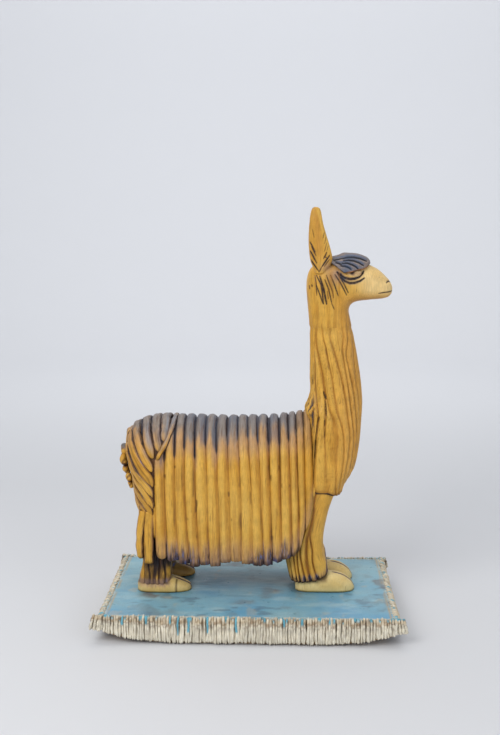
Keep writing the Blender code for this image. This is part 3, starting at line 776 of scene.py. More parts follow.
# Strips that cross the back, from the back down each side, as (x, z), and half their width.
OVER_STRIPS = [
    ([(-0.0812, 0.1975), (-0.0809, 0.1932), (-0.0801, 0.1899), (-0.0799, 0.1846), (-0.0800, 0.1790),
      (-0.0803, 0.1730)], 0.0047),
    ([(-0.0902, 0.1975), (-0.0899, 0.1927), (-0.0894, 0.1895), (-0.0887, 0.1845), (-0.0880, 0.1789),
      (-0.0866, 0.1713), (-0.0848, 0.1640)], 0.0044),
    ([(-0.1000, 0.1950), (-0.0997, 0.1905), (-0.0986, 0.1860), (-0.0977, 0.1808), (-0.0965, 0.1752),
      (-0.0949, 0.1694), (-0.0928, 0.1633), (-0.0906, 0.1575)], 0.0045),
    ([(-0.1091, 0.1930), (-0.1093, 0.1875), (-0.1093, 0.1830), (-0.1084, 0.1785), (-0.1060, 0.1727),
      (-0.1023, 0.1647), (-0.0983, 0.1570), (-0.0937, 0.1500), (-0.0915, 0.1450)], 0.0044),
    ([(-0.1158, 0.1870), (-0.1163, 0.1815), (-0.1162, 0.1765), (-0.1150, 0.1703), (-0.1122, 0.1645),
      (-0.1086, 0.1574), (-0.1044, 0.1509), (-0.1000, 0.1449), (-0.0945, 0.1380), (-0.0918, 0.1300)],
     0.0050),
]
# Strips that start beside the tail, on each side.
SIDE_STRIPS = [
    ([(-0.1198, 0.1610), (-0.1175, 0.1560), (-0.1142, 0.1500), (-0.1108, 0.1435), (-0.1048, 0.1378),
      (-0.0985, 0.1325), (-0.0938, 0.1265), (-0.0920, 0.1195)], 0.0044),
    ([(-0.1168, 0.1450), (-0.1130, 0.1385), (-0.1078, 0.1325), (-0.1018, 0.1270), (-0.0965, 0.1205),
      (-0.0930, 0.1140), (-0.0922, 0.1085)], 0.0043),
    ([(-0.1152, 0.1330), (-0.1100, 0.1250), (-0.1035, 0.1185), (-0.0980, 0.1130), (-0.0943, 0.1070),
      (-0.0930, 0.1015)], 0.0044),
    ([(-0.1128, 0.1225), (-0.1075, 0.1140), (-0.1020, 0.1082), (-0.0975, 0.1025)], 0.0046),
    ([(-0.1108, 0.1125), (-0.1065, 0.1068), (-0.1018, 0.1020)], 0.0038),
]
# The narrow strip that lies along the front edge of them.
EDGE_STRIP = [(-0.0724, 0.1903), (-0.0730, 0.1872), (-0.0750, 0.1805), (-0.0780, 0.1725), (-0.0816, 0.1660),
              (-0.0842, 0.1615), (-0.0868, 0.1560)]


def rump_point(x, z, side):
    """The point on the rump at a place seen from the side."""
    top = curve(RUMP_TOP, x)
    z = np.minimum(z, top)
    back = np.clip((x - curve(RUMP_REAR, z)) / RUMP_ROUND, 0, 1)
    y = arch(top - z, 0.0385, SHOULDER) * (1 - (1 - back) ** 2.2) ** (1 / 2.2)
    return np.stack([x, BODY_Y + side * y, z], -1)


def rump_normal(x, z, side):
    """The direction straight out of the rump there."""
    step = 0.0004
    x = np.maximum(x, curve(RUMP_REAR, z) + step * 1.5)
    z = np.minimum(z, curve(RUMP_TOP, x) - step * 1.5)
    along = rump_point(x + step, z, side) - rump_point(x - step, z, side)
    normal = unit(np.cross(along, rump_point(x, z + step, side) - rump_point(x, z - step, side)))
    return normal * np.where(normal[..., 1:2] * side < 0, -1, 1)


def paint_strip(points, seed, top_stain, dark_tip, crease, power=STRIP_POWER):
    """The colour of a swept strip: light on its crest, with painted shade where it meets its neighbours."""
    rows, around = points.shape[:2]
    u, v = superellipse(turn_of(around), power)
    x, y, z = np.moveaxis(points, -1, 0)
    t = np.linspace(0, 1, rows)[:, None] + 0 * z
    across = np.arange(around)[None, :]
    tone = mix(AMBER, AMBER_LIT, 0.25 + 0.6 * fbm(z * 40, x * 60, seed, 21))
    low = -np.clip(v, 0, 1)[None, :] + 0 * z
    # painted shade on the underside, deepening to black, where the strip meets its neighbours and the form
    # below
    tone = mix(tone, AMBER_DEEP, ramp(low, -0.92, -0.60) * 0.8)
    rough = 0.16 * noise(z * 70, across * 0.3, seed, 27)
    tone = mix(tone, BROWN, ramp(low + rough, -0.80, -0.40) * 0.55)
    tone = mix(tone, BLACK, ramp(low + rough, -0.68, -0.28) * 0.92)
    # painted shade, brown and broken, in the crease along the strip
    if crease is not None:
        near = (bump(u, crease, 0.17) * (v > 0))[None, :]
        tone = mix(tone, BROWN, near * ramp(noise(z * 38, seed, 4.0, 26), -0.35, 0.35) * 0.75)
    tone = mix(tone, TAN, ramp(z, 0.160, 0.176) * top_stain * 0.7)
    ragged = 0.006 * noise(x * 300, y * 300, seed, 22)
    tone = mix(tone, GREY, ramp(z + ragged, 0.172, 0.188) * top_stain * 0.85)
    flank = ramp(noise(across * 0.5, z * 45, seed, 23), -0.05, 0.4)
    tone = mix(tone, SMOKE, flank * ramp(z, 0.150, 0.176) * top_stain * 0.65)
    tone = mix(tone, MAUVE, flank * ramp(low, -0.97, -0.80) * 0.45)
    tone = mix(tone, BROWN, ramp(t, 0.90, 1.0) * dark_tip)
    dark = 0.35 * ramp(low, -0.97, -0.7) + 0.15 + 0.1 * top_stain * ramp(z, 0.16, 0.18)
    blue = (0.18 + 0.18 * ramp(low, -0.97, -0.75)) * ramp(z, 0.115, 0.165) * top_stain
    return tone, stains(dark, blue)


def strip_lie(rows, around, step, width, seed):
    """Places on a strip for its streaks, which run along it."""
    lie = np.zeros((rows, around, 3))
    lie[..., 0] = np.cos(turn_of(around))[None, :] * width / 2
    lie[..., 1] = np.arange(rows)[:, None] * step
    lie[..., 2] = seed * 3.7
    return lie


def add_strip(piece, path, up, half, height, seed, top_stain, ends, dark_tip=0.0, crease=None, under=0.35):
    """Adds one clay strip along a path, with its paint."""
    rows, around = len(path), 20
    wave = 1 + 0.10 * noise(np.linspace(0, 7, rows), seed * 5.5, 0, 24)
    strip = sweep(path, up, half * ends * wave, height * ends ** 0.8, around, under, STRIP_POWER,
                  None if crease is None else (crease, 0.24))
    tone, stain = paint_strip(strip, seed, top_stain, dark_tip, crease)
    piece.grid(strip, tone, strip_lie(rows, around, 0.8, 7.0, seed), wrap=True, poles=True, stain=stain)


def eased(vectors, times):
    """Directions along a strip, evened out with their neighbours."""
    for _ in range(times):
        vectors = unit(np.concatenate([vectors[:1], vectors[:-2] + vectors[1:-1] + vectors[2:],
                                       vectors[-1:]]))
    return vectors


def shifted(line, side, seed):
    """A strip's line, a little different on the far side."""
    table = np.array(line)
    if side > 0:
        steps = np.arange(len(table))
        table = table + 0.0010 * np.stack([np.sin(seed * 2.1 + steps), np.cos(seed + steps * 1.3)], 1)
        table[0] = line[0]
    return table


def build_rump_shell():
    """The dark form under the rump's strips, painted shade where it shows between them, with slate towards
    the top.
    """
    heights = np.linspace(0.1035, 0.1925, 90)
    front = curve(RUMP_EDGE, heights) + 0.0012
    rear = curve(RUMP_REAR, heights)
    share = np.linspace(0, 1, 50)[:, None] ** 2
    x = (rear + (front - rear) * share).T
    z = heights[:, None] + 0 * x
    inset = 0.0030 - 0.0022 * below(z, 0.163, 0.012) * below(x, -0.106, 0.008)
    halves = []
    for side in (-1, 1):
        halves.append(rump_point(x, z, side) - rump_normal(x, z, side) * inset[..., None])
        halves[-1][:, 0, 1] = BODY_Y
    inside = np.concatenate([halves[0][:, ::-1], halves[1][:, 1:]], axis=1)
    px, py, pz = np.moveaxis(inside, -1, 0)
    # painted shade, brown and black
    tone = mix(BROWN, BLACK, 0.30 + 0.9 * noise(px * 130, py * 130, pz * 130, 28))
    tone = mix(tone, SLATE_DEEP, ramp(pz, 0.165, 0.180))
    shell = Piece()
    shell.grid(inside, tone, away=np.array([-0.07, BODY_Y, 0.13]))
    shell.build("rump_shell", "amber_clay", "rump")


def add_over_strips(piece):
    """The strips that cross the back and hang down both sides."""
    for i, (line, half) in enumerate(OVER_STRIPS):
        flanks = []
        for side in (-1, 1):
            path = resample(shifted(line, side, i), 160)
            path = path[path[:, 1] < curve(RUMP_TOP, path[:, 0]) - 0.0003]
            on = rump_point(path[:, 0], path[:, 1], side)
            crest = np.array([[path[0, 0], BODY_Y, curve(RUMP_TOP, path[0, 0])]])
            flanks.append(np.concatenate([crest, on]))
        path = resample(np.concatenate([flanks[0][::-1], flanks[1][1:]]), 130)
        side = np.where(path[:, 1] < BODY_Y, -1, 1)
        up = np.stack([rump_normal(p[0:1], p[2:3], s)[0] for p, s in zip(path, side)])
        up[np.abs(path[:, 1] - BODY_Y) < 0.006] = (-0.02 - 0.14 * i, 0, 1)
        up = eased(up, 10)
        path[:, 2] -= 0.0006 * i * bump(path[:, 1], BODY_Y, 0.012)
        add_strip(piece, path - up * STRIP_SUNK, up, half, 0.0034, i * 3.3, 1.0,
                  rounded_ends(130, 0.09, 0.09), 0.40, (0.15, -0.1, 0.2, -0.15, 0.1)[i])


def add_side_strips(piece, side):
    """The strips that start beside the tail and sweep forward and down."""
    for i, (line, half) in enumerate(SIDE_STRIPS):
        path = resample(shifted(line, side, i + 7), 160)
        path[:, 0] = np.maximum(path[:, 0], curve(RUMP_REAR, path[:, 1]) + 0.00012)
        path = resample(rump_point(path[:, 0], path[:, 1], side), 80)
        up = eased(rump_normal(path[:, 0], path[:, 2], side), 8)
        add_strip(piece, path - up * (STRIP_SUNK - 0.0002 * i), up, half, 0.0036, i * 3.3 + side * 9, 0.7,
                  rounded_ends(80, 0.04, 0.24 if i < 3 else 0.12), 0.40, (0.1, -0.2, 0.15, -0.1, None)[i])


def add_edge_strip(piece, side):
    """The narrow strip along the front edge of the rump's strips, from the middle of the back."""
    line = shifted(EDGE_STRIP, side, 3)
    start = [[line[0, 0], BODY_Y + side * y, 0.1910 - 12 * y * y] for y in (0.0, 0.004, 0.008)]
    path = np.concatenate([start, rump_point(line[:, 0], line[:, 1], side)])
    path[3:, 1] = BODY_Y + side * arch(0.1926 - path[3:, 2], 0.0392, SHOULDER)
    path = resample(path, 90)
    up = eased(unit(np.stack([0 * path[:, 0], (path[:, 1] - BODY_Y) * 1.4, path[:, 2] - 0.150], -1)), 4)
    add_strip(piece, path - up * 0.0022, up, 0.0025, 0.0030, side * 4.0, 0.9,
              rounded_ends(90, 0.0, 0.10), 0.5)


def add_tail_strips(piece, side):
    """The upright strips on the back of the rump, beside the tail."""
    for across in (0.0050, 0.0125, 0.0200):
        z = np.linspace(0.1800 - 80 * across ** 2, 0.1060, 90)
        back = (1 - (1 - (across / 0.0375) ** 2.2) ** (1 / 2.2)) * RUMP_ROUND
        path = np.stack([curve(RUMP_REAR, z) + back + 0.0040, BODY_Y + side * across + 0 * z, z], -1)
        add_strip(piece, path, np.tile((-1.0, side * across * 30, 0.0), (90, 1)), 0.0042, 0.0032,
                  side * across * 900, 0.4, rounded_ends(90, 0.05, 0.05), 0.4)


def build_rump():
    build_rump_shell()
    piece = Piece(shelves=3)
    add_over_strips(piece)
    for side in (-1, 1):
        add_side_strips(piece, side)
        add_edge_strip(piece, side)
        add_tail_strips(piece, side)
    piece.build("coat_rump", "amber_clay", "rump")


# The tail's knots: x, z, half its depth, half its width and how far it leans.
TAIL_KNOTS = [(-0.1214, 0.1570, 0.0044, 0.0054, 0.5), (-0.1226, 0.1478, 0.0040, 0.0054, -0.5),
              (-0.1206, 0.1382, 0.0038, 0.0050, 0.5), (-0.1178, 0.1298, 0.0035, 0.0045, -0.45),
              (-0.1164, 0.1226, 0.0031, 0.0040, 0.35)]


def build_tail():
    """A rope of knots that swing from side to side."""
    piece = Piece()
    rows, cols = 26, 30
    t = (np.linspace(0.04, 0.96, rows) * math.pi)[:, None]
    a = turn_of(cols)[None, :]
    ring = np.sin(t) ** 0.85
    for i, (x, z, deep, half, lean) in enumerate(TAIL_KNOTS):
        swirl = np.sin(a * 2 + t * 3.4 + i)
        px = deep * ring * (1 + 0.10 * swirl) * np.cos(a)
        py = half * ring * (1 + 0.10 * swirl) * np.sin(a)
        pz = (0.0066 - 0.0006 * i) * np.cos(t) + 0 * px
        middle_y = BODY_Y + math.copysign(0.0012, lean)
        points = np.stack([x + px - 0.12 * pz, middle_y + py * math.cos(lean) - pz * math.sin(lean),
                           z + pz * math.cos(lean) + py * math.sin(lean)], -1)
        level = np.abs(np.cos(t)) + 0 * px
        tone = mix(AMBER, AMBER_LIT, 0.4 + 0.6 * fbm(*np.moveaxis(points * 200, -1, 0), 31))
        # painted shade: darker towards each knot's ends and black where knots meet, brown in the hollows of
        # the twist, and black on the side against the rump
        tone = mix(tone, AMBER_DEEP, ramp(level, 0.50, 0.85) * 0.9)
        tone = mix(tone, BLACK, ramp(level, 0.72, 0.95) * 0.95)
        tone = mix(tone, BROWN, ramp(-swirl, 0.35, 0.95) * 0.7)
        tone = mix(tone, BLACK, ramp(px, 0.2 * deep, 0.9 * deep) * 0.9)
        if i == 0:
            tone = mix(tone, GREY, ramp(pz, 0.0030, 0.0060) * 0.7)
        piece.grid(points, tone, wrap=True, poles=True)
    piece.build("tail_knots", "amber_clay", "tail")


# ---- neck and bib: long strips in low relief ------------------------------------------------
# The neck's back, front and half width, each with its height first.
NECK_BACK = [(0.120, 0.0565), (0.186, 0.0560), (0.192, 0.0548), (0.197, 0.0520), (0.2010, 0.0515),
             (0.206, 0.0535), (0.213, 0.0559), (0.230, 0.0560), (0.255, 0.0559), (0.272, 0.0552),
             (0.283, 0.0545), (0.290, 0.0538)]
NECK_FRONT = [(0.120, 0.0868), (0.126, 0.0880), (0.144, 0.0978), (0.163, 0.1018), (0.188, 0.1037),
              (0.207, 0.1042), (0.222, 0.1030), (0.250, 0.0987), (0.274, 0.0945), (0.283, 0.0932),
              (0.290, 0.0922)]
NECK_WIDE = [(0.120, 0.0316), (0.125, 0.0320), (0.145, 0.0325), (0.165, 0.0310), (0.195, 0.0270),
             (0.220, 0.0225), (0.250, 0.0195), (0.272, 0.0180), (0.290, 0.0177)]
# The grooves between the strips, from the back to the front, as (z, x) seen from the side.
NECK_GROOVES = [
    [(0.290, 0.0552), (0.267, 0.0572), (0.244, 0.0577), (0.228, 0.0574), (0.213, 0.0585),
     (0.200, 0.0580), (0.190, 0.0592), (0.160, 0.0585), (0.124, 0.0578)],
    [(0.290, 0.0595), (0.279, 0.0592), (0.267, 0.0590), (0.252, 0.0590), (0.244, 0.0598),
     (0.228, 0.0600), (0.213, 0.0610), (0.192, 0.0628), (0.180, 0.0618), (0.150, 0.0600),
     (0.124, 0.0598)],
    [(0.290, 0.0612), (0.279, 0.0606), (0.267, 0.0600), (0.2595, 0.0609), (0.248, 0.0633),
     (0.232, 0.0665), (0.2206, 0.0682), (0.2128, 0.0693), (0.205, 0.0695), (0.197, 0.0698),
     (0.176, 0.0690), (0.156, 0.0700), (0.136, 0.0702), (0.124, 0.0726)],
    [(0.290, 0.0618), (0.279, 0.0612), (0.267, 0.0606), (0.2595, 0.0614), (0.248, 0.0638),
     (0.232, 0.0673), (0.2206, 0.0692), (0.2128, 0.0708), (0.205, 0.0725), (0.192, 0.0772),
     (0.181, 0.0802), (0.156, 0.0798), (0.124, 0.0798)],
    [(0.290, 0.0652), (0.272, 0.0661), (0.2596, 0.0693), (0.2464, 0.0717), (0.2324, 0.0750),
     (0.2168, 0.0775), (0.199, 0.0812), (0.187, 0.0850), (0.156, 0.0867), (0.131, 0.0832),
     (0.124, 0.0825)],
    [(0.290, 0.0727), (0.279, 0.0728), (0.267, 0.0737), (0.255, 0.0777), (0.244, 0.0809),
     (0.2286, 0.0850), (0.2168, 0.0875), (0.193, 0.0909), (0.181, 0.0925), (0.154, 0.0903),
     (0.132, 0.0861), (0.124, 0.0850)],
    [(0.290, 0.0835), (0.281, 0.0842), (0.271, 0.0858), (0.2596, 0.0849), (0.244, 0.0870),
     (0.2247, 0.0904), (0.205, 0.0930), (0.192, 0.0947), (0.175, 0.0962), (0.154, 0.0945),
     (0.124, 0.0866)],
    [(0.290, 0.0890), (0.2766, 0.0896), (0.2658, 0.0897), (0.255, 0.0884), (0.240, 0.0912),
     (0.2247, 0.0945), (0.209, 0.0970), (0.192, 0.0985), (0.175, 0.0990), (0.154, 0.0970),
     (0.124, 0.0872)],
    [(0.290, 0.0912), (0.277, 0.0928), (0.262, 0.0948), (0.2458, 0.0960), (0.2247, 0.0985),
     (0.205, 0.1010), (0.190, 0.1012), (0.170, 0.1005), (0.150, 0.0978), (0.124, 0.0877)],
]
# Deeper slits in the neck, as (x, z), with their half width and strength.
NECK_SLITS = [
    ([(0.0678, 0.2190), (0.0688, 0.2160), (0.0699, 0.2125)], 0.0011, 1.0),
    ([(0.0695, 0.2100), (0.0699, 0.2033), (0.0702, 0.1970)], 0.0006, 0.8),
    ([(0.0580, 0.2335), (0.0578, 0.2290), (0.0576, 0.2237)], 0.0005, 0.8),
    ([(0.0690, 0.1935), (0.0690, 0.1850), (0.0690, 0.1760)], 0.0006, 0.8),
    ([(0.0635, 0.1960), (0.0622, 0.1880), (0.0612, 0.1790), (0.0607, 0.1700)], 0.0009, 0.9),
    ([(0.0607, 0.1740), (0.0602, 0.1660), (0.0598, 0.1572)], 0.0014, 1.0),
    ([(0.0598, 0.1570), (0.0590, 0.1430), (0.0587, 0.1330)], 0.0008, 0.7),
]


# The bib's lower edge, as places along x and its height at each.
NECK_HEM = ([0.057, 0.0616, 0.0701, 0.0738, 0.0787, 0.0842, 0.0870],
            [0.1262, 0.1255, 0.1252, 0.1244, 0.1230, 0.1226, 0.1235])
NECK_COLS = 320
NECK_HEIGHTS = np.linspace(NECK_FOOT - 0.0008, 0.2905, 200)
NECK_POWER = 2.3


def section_angle(x, back, front, power):
    """The angle on a section, from its front, at which it passes x."""
    u = np.clip((x - (back + front) / 2) / ((front - back) / 2), -1, 1)
    return np.arccos(np.clip(np.sign(u) * np.abs(u) ** (power / 2), -1, 1))


def ridges(angle, lines, reach, sharp=0.0009):
    """The relief between groove lines given as angles, rows of lines first.

    Gives how high it is, 0 to 1 how near a groove, and which strip it is.
    """
    lines = np.sort(np.stack([line + 0 * angle for line in lines]), axis=0)
    which = np.clip((angle >= lines).sum(axis=0), 1, len(lines) - 1)
    low = np.take_along_axis(lines, which[None] - 1, 0)[0]
    high = np.take_along_axis(lines, which[None], 0)[0]
    width = np.maximum(high - low, 1e-4) * reach
    q = np.clip((angle - low) / np.maximum(high - low, 1e-4), 0, 1) * 2 - 1
    near = np.minimum(np.abs(angle - low), np.abs(high - angle)) * reach
    return (1 - q ** 2) * np.minimum(1.0, width / 0.006), bump(near, 0.0, sharp), which


def neck_section(z):
    """The neck's back, front, half width and squareness at a height."""
    square = NECK_POWER + 3.7 * np.clip((0.205 - z) / 0.04, 0, 1)
    return curve(NECK_BACK, z), curve(NECK_FRONT, z), curve(NECK_WIDE, z), square


def neck_relief(x, y, z):
    """The strips on the neck at points on it: relief, crown, groove, strip, strength and fine lines."""
    side = np.where(y < BODY_Y, -1.0, 1.0)
    back, front, wide, square = neck_section(z)
    middle_x, half = (back + front) / 2, (front - back) / 2
    u = (x - middle_x) / half
    power = np.where(u < 0, square, NECK_POWER) / 2
    turn = np.arctan2((np.abs(y - BODY_Y) / wide) ** power, np.sign(u) * np.abs(u) ** power)
    lines = [-0.22 + 0 * z, 0.24 + 0.05 * np.sin(z * 60)]
    for g, table in enumerate(NECK_GROOVES):
        at = curve(table, z) + np.where(side > 0, 0.0011 * noise(z * 20, g * 3.3, 0.7, 41), 0.0)
        lines.append(section_angle(at, back, front, np.where(at < middle_x, square, NECK_POWER)))
    lines += [math.pi - 0.10 + 0 * z, math.pi + 0.25 + 0 * z]
    crown, near, which = ridges(turn, lines, (half + wide) * 0.62)
    strength = below(z, 0.304, 0.060) * (0.85 + 0.30 * ramp(z, 0.13, 0.20))
    patch = 0.55 + 0.60 * noise(z * 30, which * 3.7, side, 42)
    out = strength * (crown * 0.0014 - near * 0.0005 * patch) - 0.0005 * strength
    fine = ramp(np.abs(noise(turn * (half + wide) * 520, z * 20, side, 46)), 0.10, 0.0)
    return out - 0.00022 * fine * strength, crown, near * patch, which * side, strength, fine


def neck_paint(x, y, z):
    """The colour of the neck and bib at points on them, and their stains."""
    crown, near, which, strength, fine = neck_relief(x, y, z)[1:]
    drift = fbm(x * 120, y * 120, z * 34, 52)
    tone = mix(AMBER, AMBER_LIT, 0.40 + 0.5 * drift)
    tone = mix(tone, AMBER_LIT, strength * ramp(noise(z * 25, which * 2.9 + 7, 0.4, 43), -0.1, 0.7)
               * crown * 0.8)
    tone = mix(tone, ORANGE, ramp(x, 0.070, 0.095) * 0.45 * below(z, 0.314, 0.012))
    # darker amber in the grooves and towards each strip's edges: glaze held in the hollows, with painted
    # shade
    valley = np.clip(near * 0.8 + ramp(-crown, -0.45, 0.0) * 0.5, 0, 1)
    tone = mix(tone, AMBER_DEEP, strength * valley * 0.75)
    tone = mix(tone, BROWN, strength * near * ramp(noise(z * 40, which * 5.1, 0.7, 44), 0.0, 0.55) * 0.50)
    tone = mix(tone, AMBER_DEEP, strength * fine * 0.5)
    return tone, stains(strength * (0.08 + 0.14 * near))


def neck_grid():
    """Points round the neck and bib, with their relief, and the side and place of each."""
    angle = (np.arange(NECK_COLS) + 0.5) * 2 * math.pi / NECK_COLS
    side = np.where(angle < math.pi, -1, 1)[None, :]
    turn = np.where(angle < math.pi, angle, 2 * math.pi - angle)
    turn = (turn - 0.18 * np.sin(2 * turn))[None, :]
    z = NECK_HEIGHTS[:, None] + 0 * turn
    back, front, wide, square = neck_section(z)
    u, v = superellipse(turn, np.where(turn > math.pi / 2, square, NECK_POWER))
    x = (back + front) / 2 + (front - back) / 2 * u
    y = BODY_Y + side * wide * v
    out = neck_relief(x, y, z)[0]
    return x + out * u, y + out * v * side, z, side


def follow_head(points, head):
    """Turns the neck's top rows on to the head's own surface, then just under it."""
    for r in np.flatnonzero(NECK_HEIGHTS > 0.2690):
        follow = float(ramp(NECK_HEIGHTS[r], 0.2690, 0.2795))
        under = 0.00003 + 0.0004 * float(ramp(NECK_HEIGHTS[r], 0.2800, 0.2890))
        for c in range(NECK_COLS):
            place, normal, _, _ = head.find_nearest(Vector(points[r, c]))
            goal = np.array(place - normal * under)
            points[r, c] = points[r, c] * (1 - follow) + goal * follow


def turned_under(steps, paint, shade, *grids):
    """Adds rings that turn in under a grid's first row, with painted shade that is darker further in.
    grids[0] is the points.
    """
    points = grids[0]
    centre = points[0].mean(axis=0)
    rings, tint = [], []
    for inward, up in steps:
        ring = points[0] + (centre - points[0]) * inward
        ring[:, 2] = points[0, :, 2] + up
        rings.append(ring)
        tint.append(mix(paint[0], BLACK, min(1.0, shade(inward))))
    under = [np.stack(rings)] + [np.repeat(grid[:1], len(steps), 0) for grid in grids[1:]]
    return [np.concatenate([np.stack(tint), paint])] + [np.concatenate(pair) for pair in zip(under, grids)]


def build_neck(head):
    x, y, z, side = neck_grid()
    low_edge = np.interp(x, *NECK_HEM)
    z_low = z + (low_edge - NECK_FOOT) * below(z, 0.150, 0.022)
    points = np.stack([x, y, z_low], -1)
    paint, stain = neck_paint(x, y, z)
    # painted shade, darker amber, along the bib's lower edge
    paint = mix(paint, AMBER_DEEP, below(z, 0.1275, 0.002) * 0.6)
    shade = below(z, NECK_FOOT + 0.0006 + 0.0006 * noise(x * 260, side, 2.0, 47), 0.0010)
    paint = mix(paint, BLACK, shade * np.where(np.abs(x - 0.0690) < 0.0085, 0.95, 0.35))
    follow_head(points, head)
    normal = unit(np.cross(np.roll(points, -1, 1) - np.roll(points, 1, 1), np.gradient(points, axis=0)))
    outward = points - points.mean(axis=1, keepdims=True)
    normal *= np.sign((normal * outward).sum(-1, keepdims=True))
    for line, width, strength in NECK_SLITS:
        slit = groove(points[..., 0], points[..., 2], line, width) * (np.abs(normal[..., 1]) > 0.1)
        points -= normal * (slit * 0.0014 * strength)[..., None]
        paint = mix(paint, BLACK, slit * strength)
    # dark strokes fan from the neck's foot on to the back
    x, y, z = np.moveaxis(points, -1, 0)
    scar = below(z, 0.218, 0.014) * below(x, 0.0610, 0.004)
    scar = scar * ramp(noise(y * 700, z * 40 + x * 500, 3.0, 45), -0.15, 0.35) * ramp(z, 0.178, 0.192)
    points -= normal * (scar * 0.0012)[..., None]
    paint = mix(paint, SLATE_DEEP, scar * 0.95)
    paint, points, stain = turned_under(
        ((0.30, 0.030), (0.10, 0.006), (0.05, 0.0), (0.018, -0.0007)), paint,
        lambda inward: 0.3 + inward * 9, points, stain)
    piece = Piece()
    piece.grid(points, paint, wrap=True, stain=stain)
    piece.build("coat_neck", "amber_clay", "neck")


# ---- head ------------------------------------------------------------------------------------
# Rings from the neck round to the nose: back or top (x, z), front or jaw (x, z), half width.
HEAD_RINGS = [
    (0.0552, 0.2720, 0.0944, 0.2740, 0.0176), (0.0543, 0.2840, 0.0928, 0.2820, 0.0176),
    (0.0530, 0.2950, 0.0914, 0.2890, 0.0177), (0.0519, 0.3060, 0.0909, 0.2925, 0.0179),
    (0.0514, 0.3150, 0.0912, 0.2950, 0.0183), (0.0520, 0.3235, 0.0922, 0.2976, 0.0186),
    (0.0545, 0.3305, 0.0940, 0.2996, 0.0188), (0.0590, 0.3350, 0.0960, 0.3008, 0.0189),
    (0.0660, 0.3380, 0.0980, 0.3015, 0.0189), (0.0760, 0.3395, 0.1005, 0.3020, 0.0187),
    (0.0870, 0.3398, 0.1035, 0.3024, 0.0181), (0.0970, 0.3386, 0.1070, 0.3027, 0.0170),
    (0.1060, 0.3364, 0.1110, 0.3031, 0.0158), (0.1130, 0.3334, 0.1150, 0.3034, 0.0146),
    (0.1190, 0.3298, 0.1190, 0.3037, 0.0135), (0.1240, 0.3252, 0.1228, 0.3042, 0.0122),
    (0.1278, 0.3210, 0.1262, 0.3052, 0.0105), (0.1298, 0.3175, 0.1285, 0.3066, 0.0084),
    (0.1308, 0.3150, 0.1300, 0.3085, 0.0056),
]
# An ear's back and front edge, with its height first.
EAR = [(0.3280, 0.0592, 0.0668), (0.3330, 0.0572, 0.0712), (0.3380, 0.0552, 0.0738),
       (0.3430, 0.0543, 0.0744), (0.3480, 0.0538, 0.0733), (0.3560, 0.0533, 0.0710),
       (0.3660, 0.0535, 0.0678), (0.3750, 0.0541, 0.0653), (0.3810, 0.0548, 0.0643),
       (0.3846, 0.0556, 0.0634), (0.3864, 0.0564, 0.0626), (0.3874, 0.0574, 0.0616),
       (0.3878, 0.0584, 0.0605)]
# Incised lines seen from the side: the line, its half width and its strength.
CHEEK_LINES = [
    ([(0.0587, 0.3260), (0.0599, 0.3179), (0.0606, 0.3079)], 0.00065, 0.8),
    ([(0.0600, 0.3262), (0.0643, 0.3179), (0.0657, 0.3091), (0.0667, 0.3001)], 0.00085, 1.0),
    ([(0.0630, 0.3256), (0.0667, 0.3138), (0.0696, 0.3002)], 0.00125, 1.0),
    ([(0.0691, 0.3266), (0.0718, 0.3191), (0.0748, 0.3121), (0.0758, 0.3062)], 0.00075, 0.9),
    ([(0.0677, 0.3225), (0.0713, 0.3138), (0.0744, 0.3008)], 0.00075, 1.0),
    ([(0.0729, 0.3266), (0.0765, 0.3179), (0.0801, 0.3078)], 0.00075, 1.0),
    ([(0.0769, 0.3272), (0.0823, 0.3191), (0.0878, 0.3084)], 0.00085, 1.0),
    ([(0.0792, 0.3284), (0.0846, 0.3197), (0.0891, 0.3107)], 0.00085, 1.0),
    ([(0.0599, 0.3173), (0.0632, 0.3091), (0.0663, 0.3004)], 0.00075, 0.9),
    ([(0.0744, 0.3004), (0.0768, 0.2951)], 0.00060, 0.8),
    ([(0.0821, 0.3284), (0.0857, 0.3214)], 0.00100, 1.0),
    ([(0.0538, 0.3167), (0.0542, 0.3132)], 0.00060, 0.7),
    ([(0.0558, 0.3175), (0.0562, 0.3158)], 0.00100, 0.8),
    ([(0.0640, 0.3190), (0.0662, 0.3120)], 0.00065, 0.8),
    ([(0.0700, 0.3120), (0.0712, 0.3050)], 0.00055, 0.6),
]
EAR_LINES = [
    ([(0.0537, 0.3566), (0.0564, 0.3520), (0.0587, 0.3474)], 0.00085, 1.0),
    ([(0.0541, 0.3485), (0.0570, 0.3433), (0.0600, 0.3376)], 0.00100, 1.0),
    ([(0.0542, 0.3410), (0.0574, 0.3364), (0.0607, 0.3318)], 0.00100, 1.0),
    ([(0.0550, 0.3525), (0.0578, 0.3475), (0.0596, 0.3440)], 0.00065, 0.8),
    ([(0.0691, 0.3474), (0.0677, 0.3439), (0.0663, 0.3416)], 0.00080, 0.9),
    ([(0.0718, 0.3445), (0.0687, 0.3399), (0.0653, 0.3347)], 0.00100, 1.0),
    ([(0.0720, 0.3410), (0.0695, 0.3380), (0.0672, 0.3345)], 0.00060, 0.7),
    ([(0.0672, 0.3434), (0.0692, 0.3422)], 0.00065, 0.8),
    ([(0.0690, 0.3560), (0.0680, 0.3510), (0.0670, 0.3480)], 0.00045, 0.40),
    ([(0.0702, 0.3530), (0.0694, 0.3490)], 0.00040, 0.35),
    ([(0.0682, 0.3610), (0.0670, 0.3550)], 0.00040, 0.30),
    ([(0.0668, 0.3650), (0.0656, 0.3600)], 0.00040, 0.30),
    ([(0.0560, 0.3680), (0.0575, 0.3610)], 0.00045, 0.35),
    ([(0.0607, 0.3318), (0.0626, 0.3296), (0.0647, 0.3341)], 0.00070, 0.7),
]
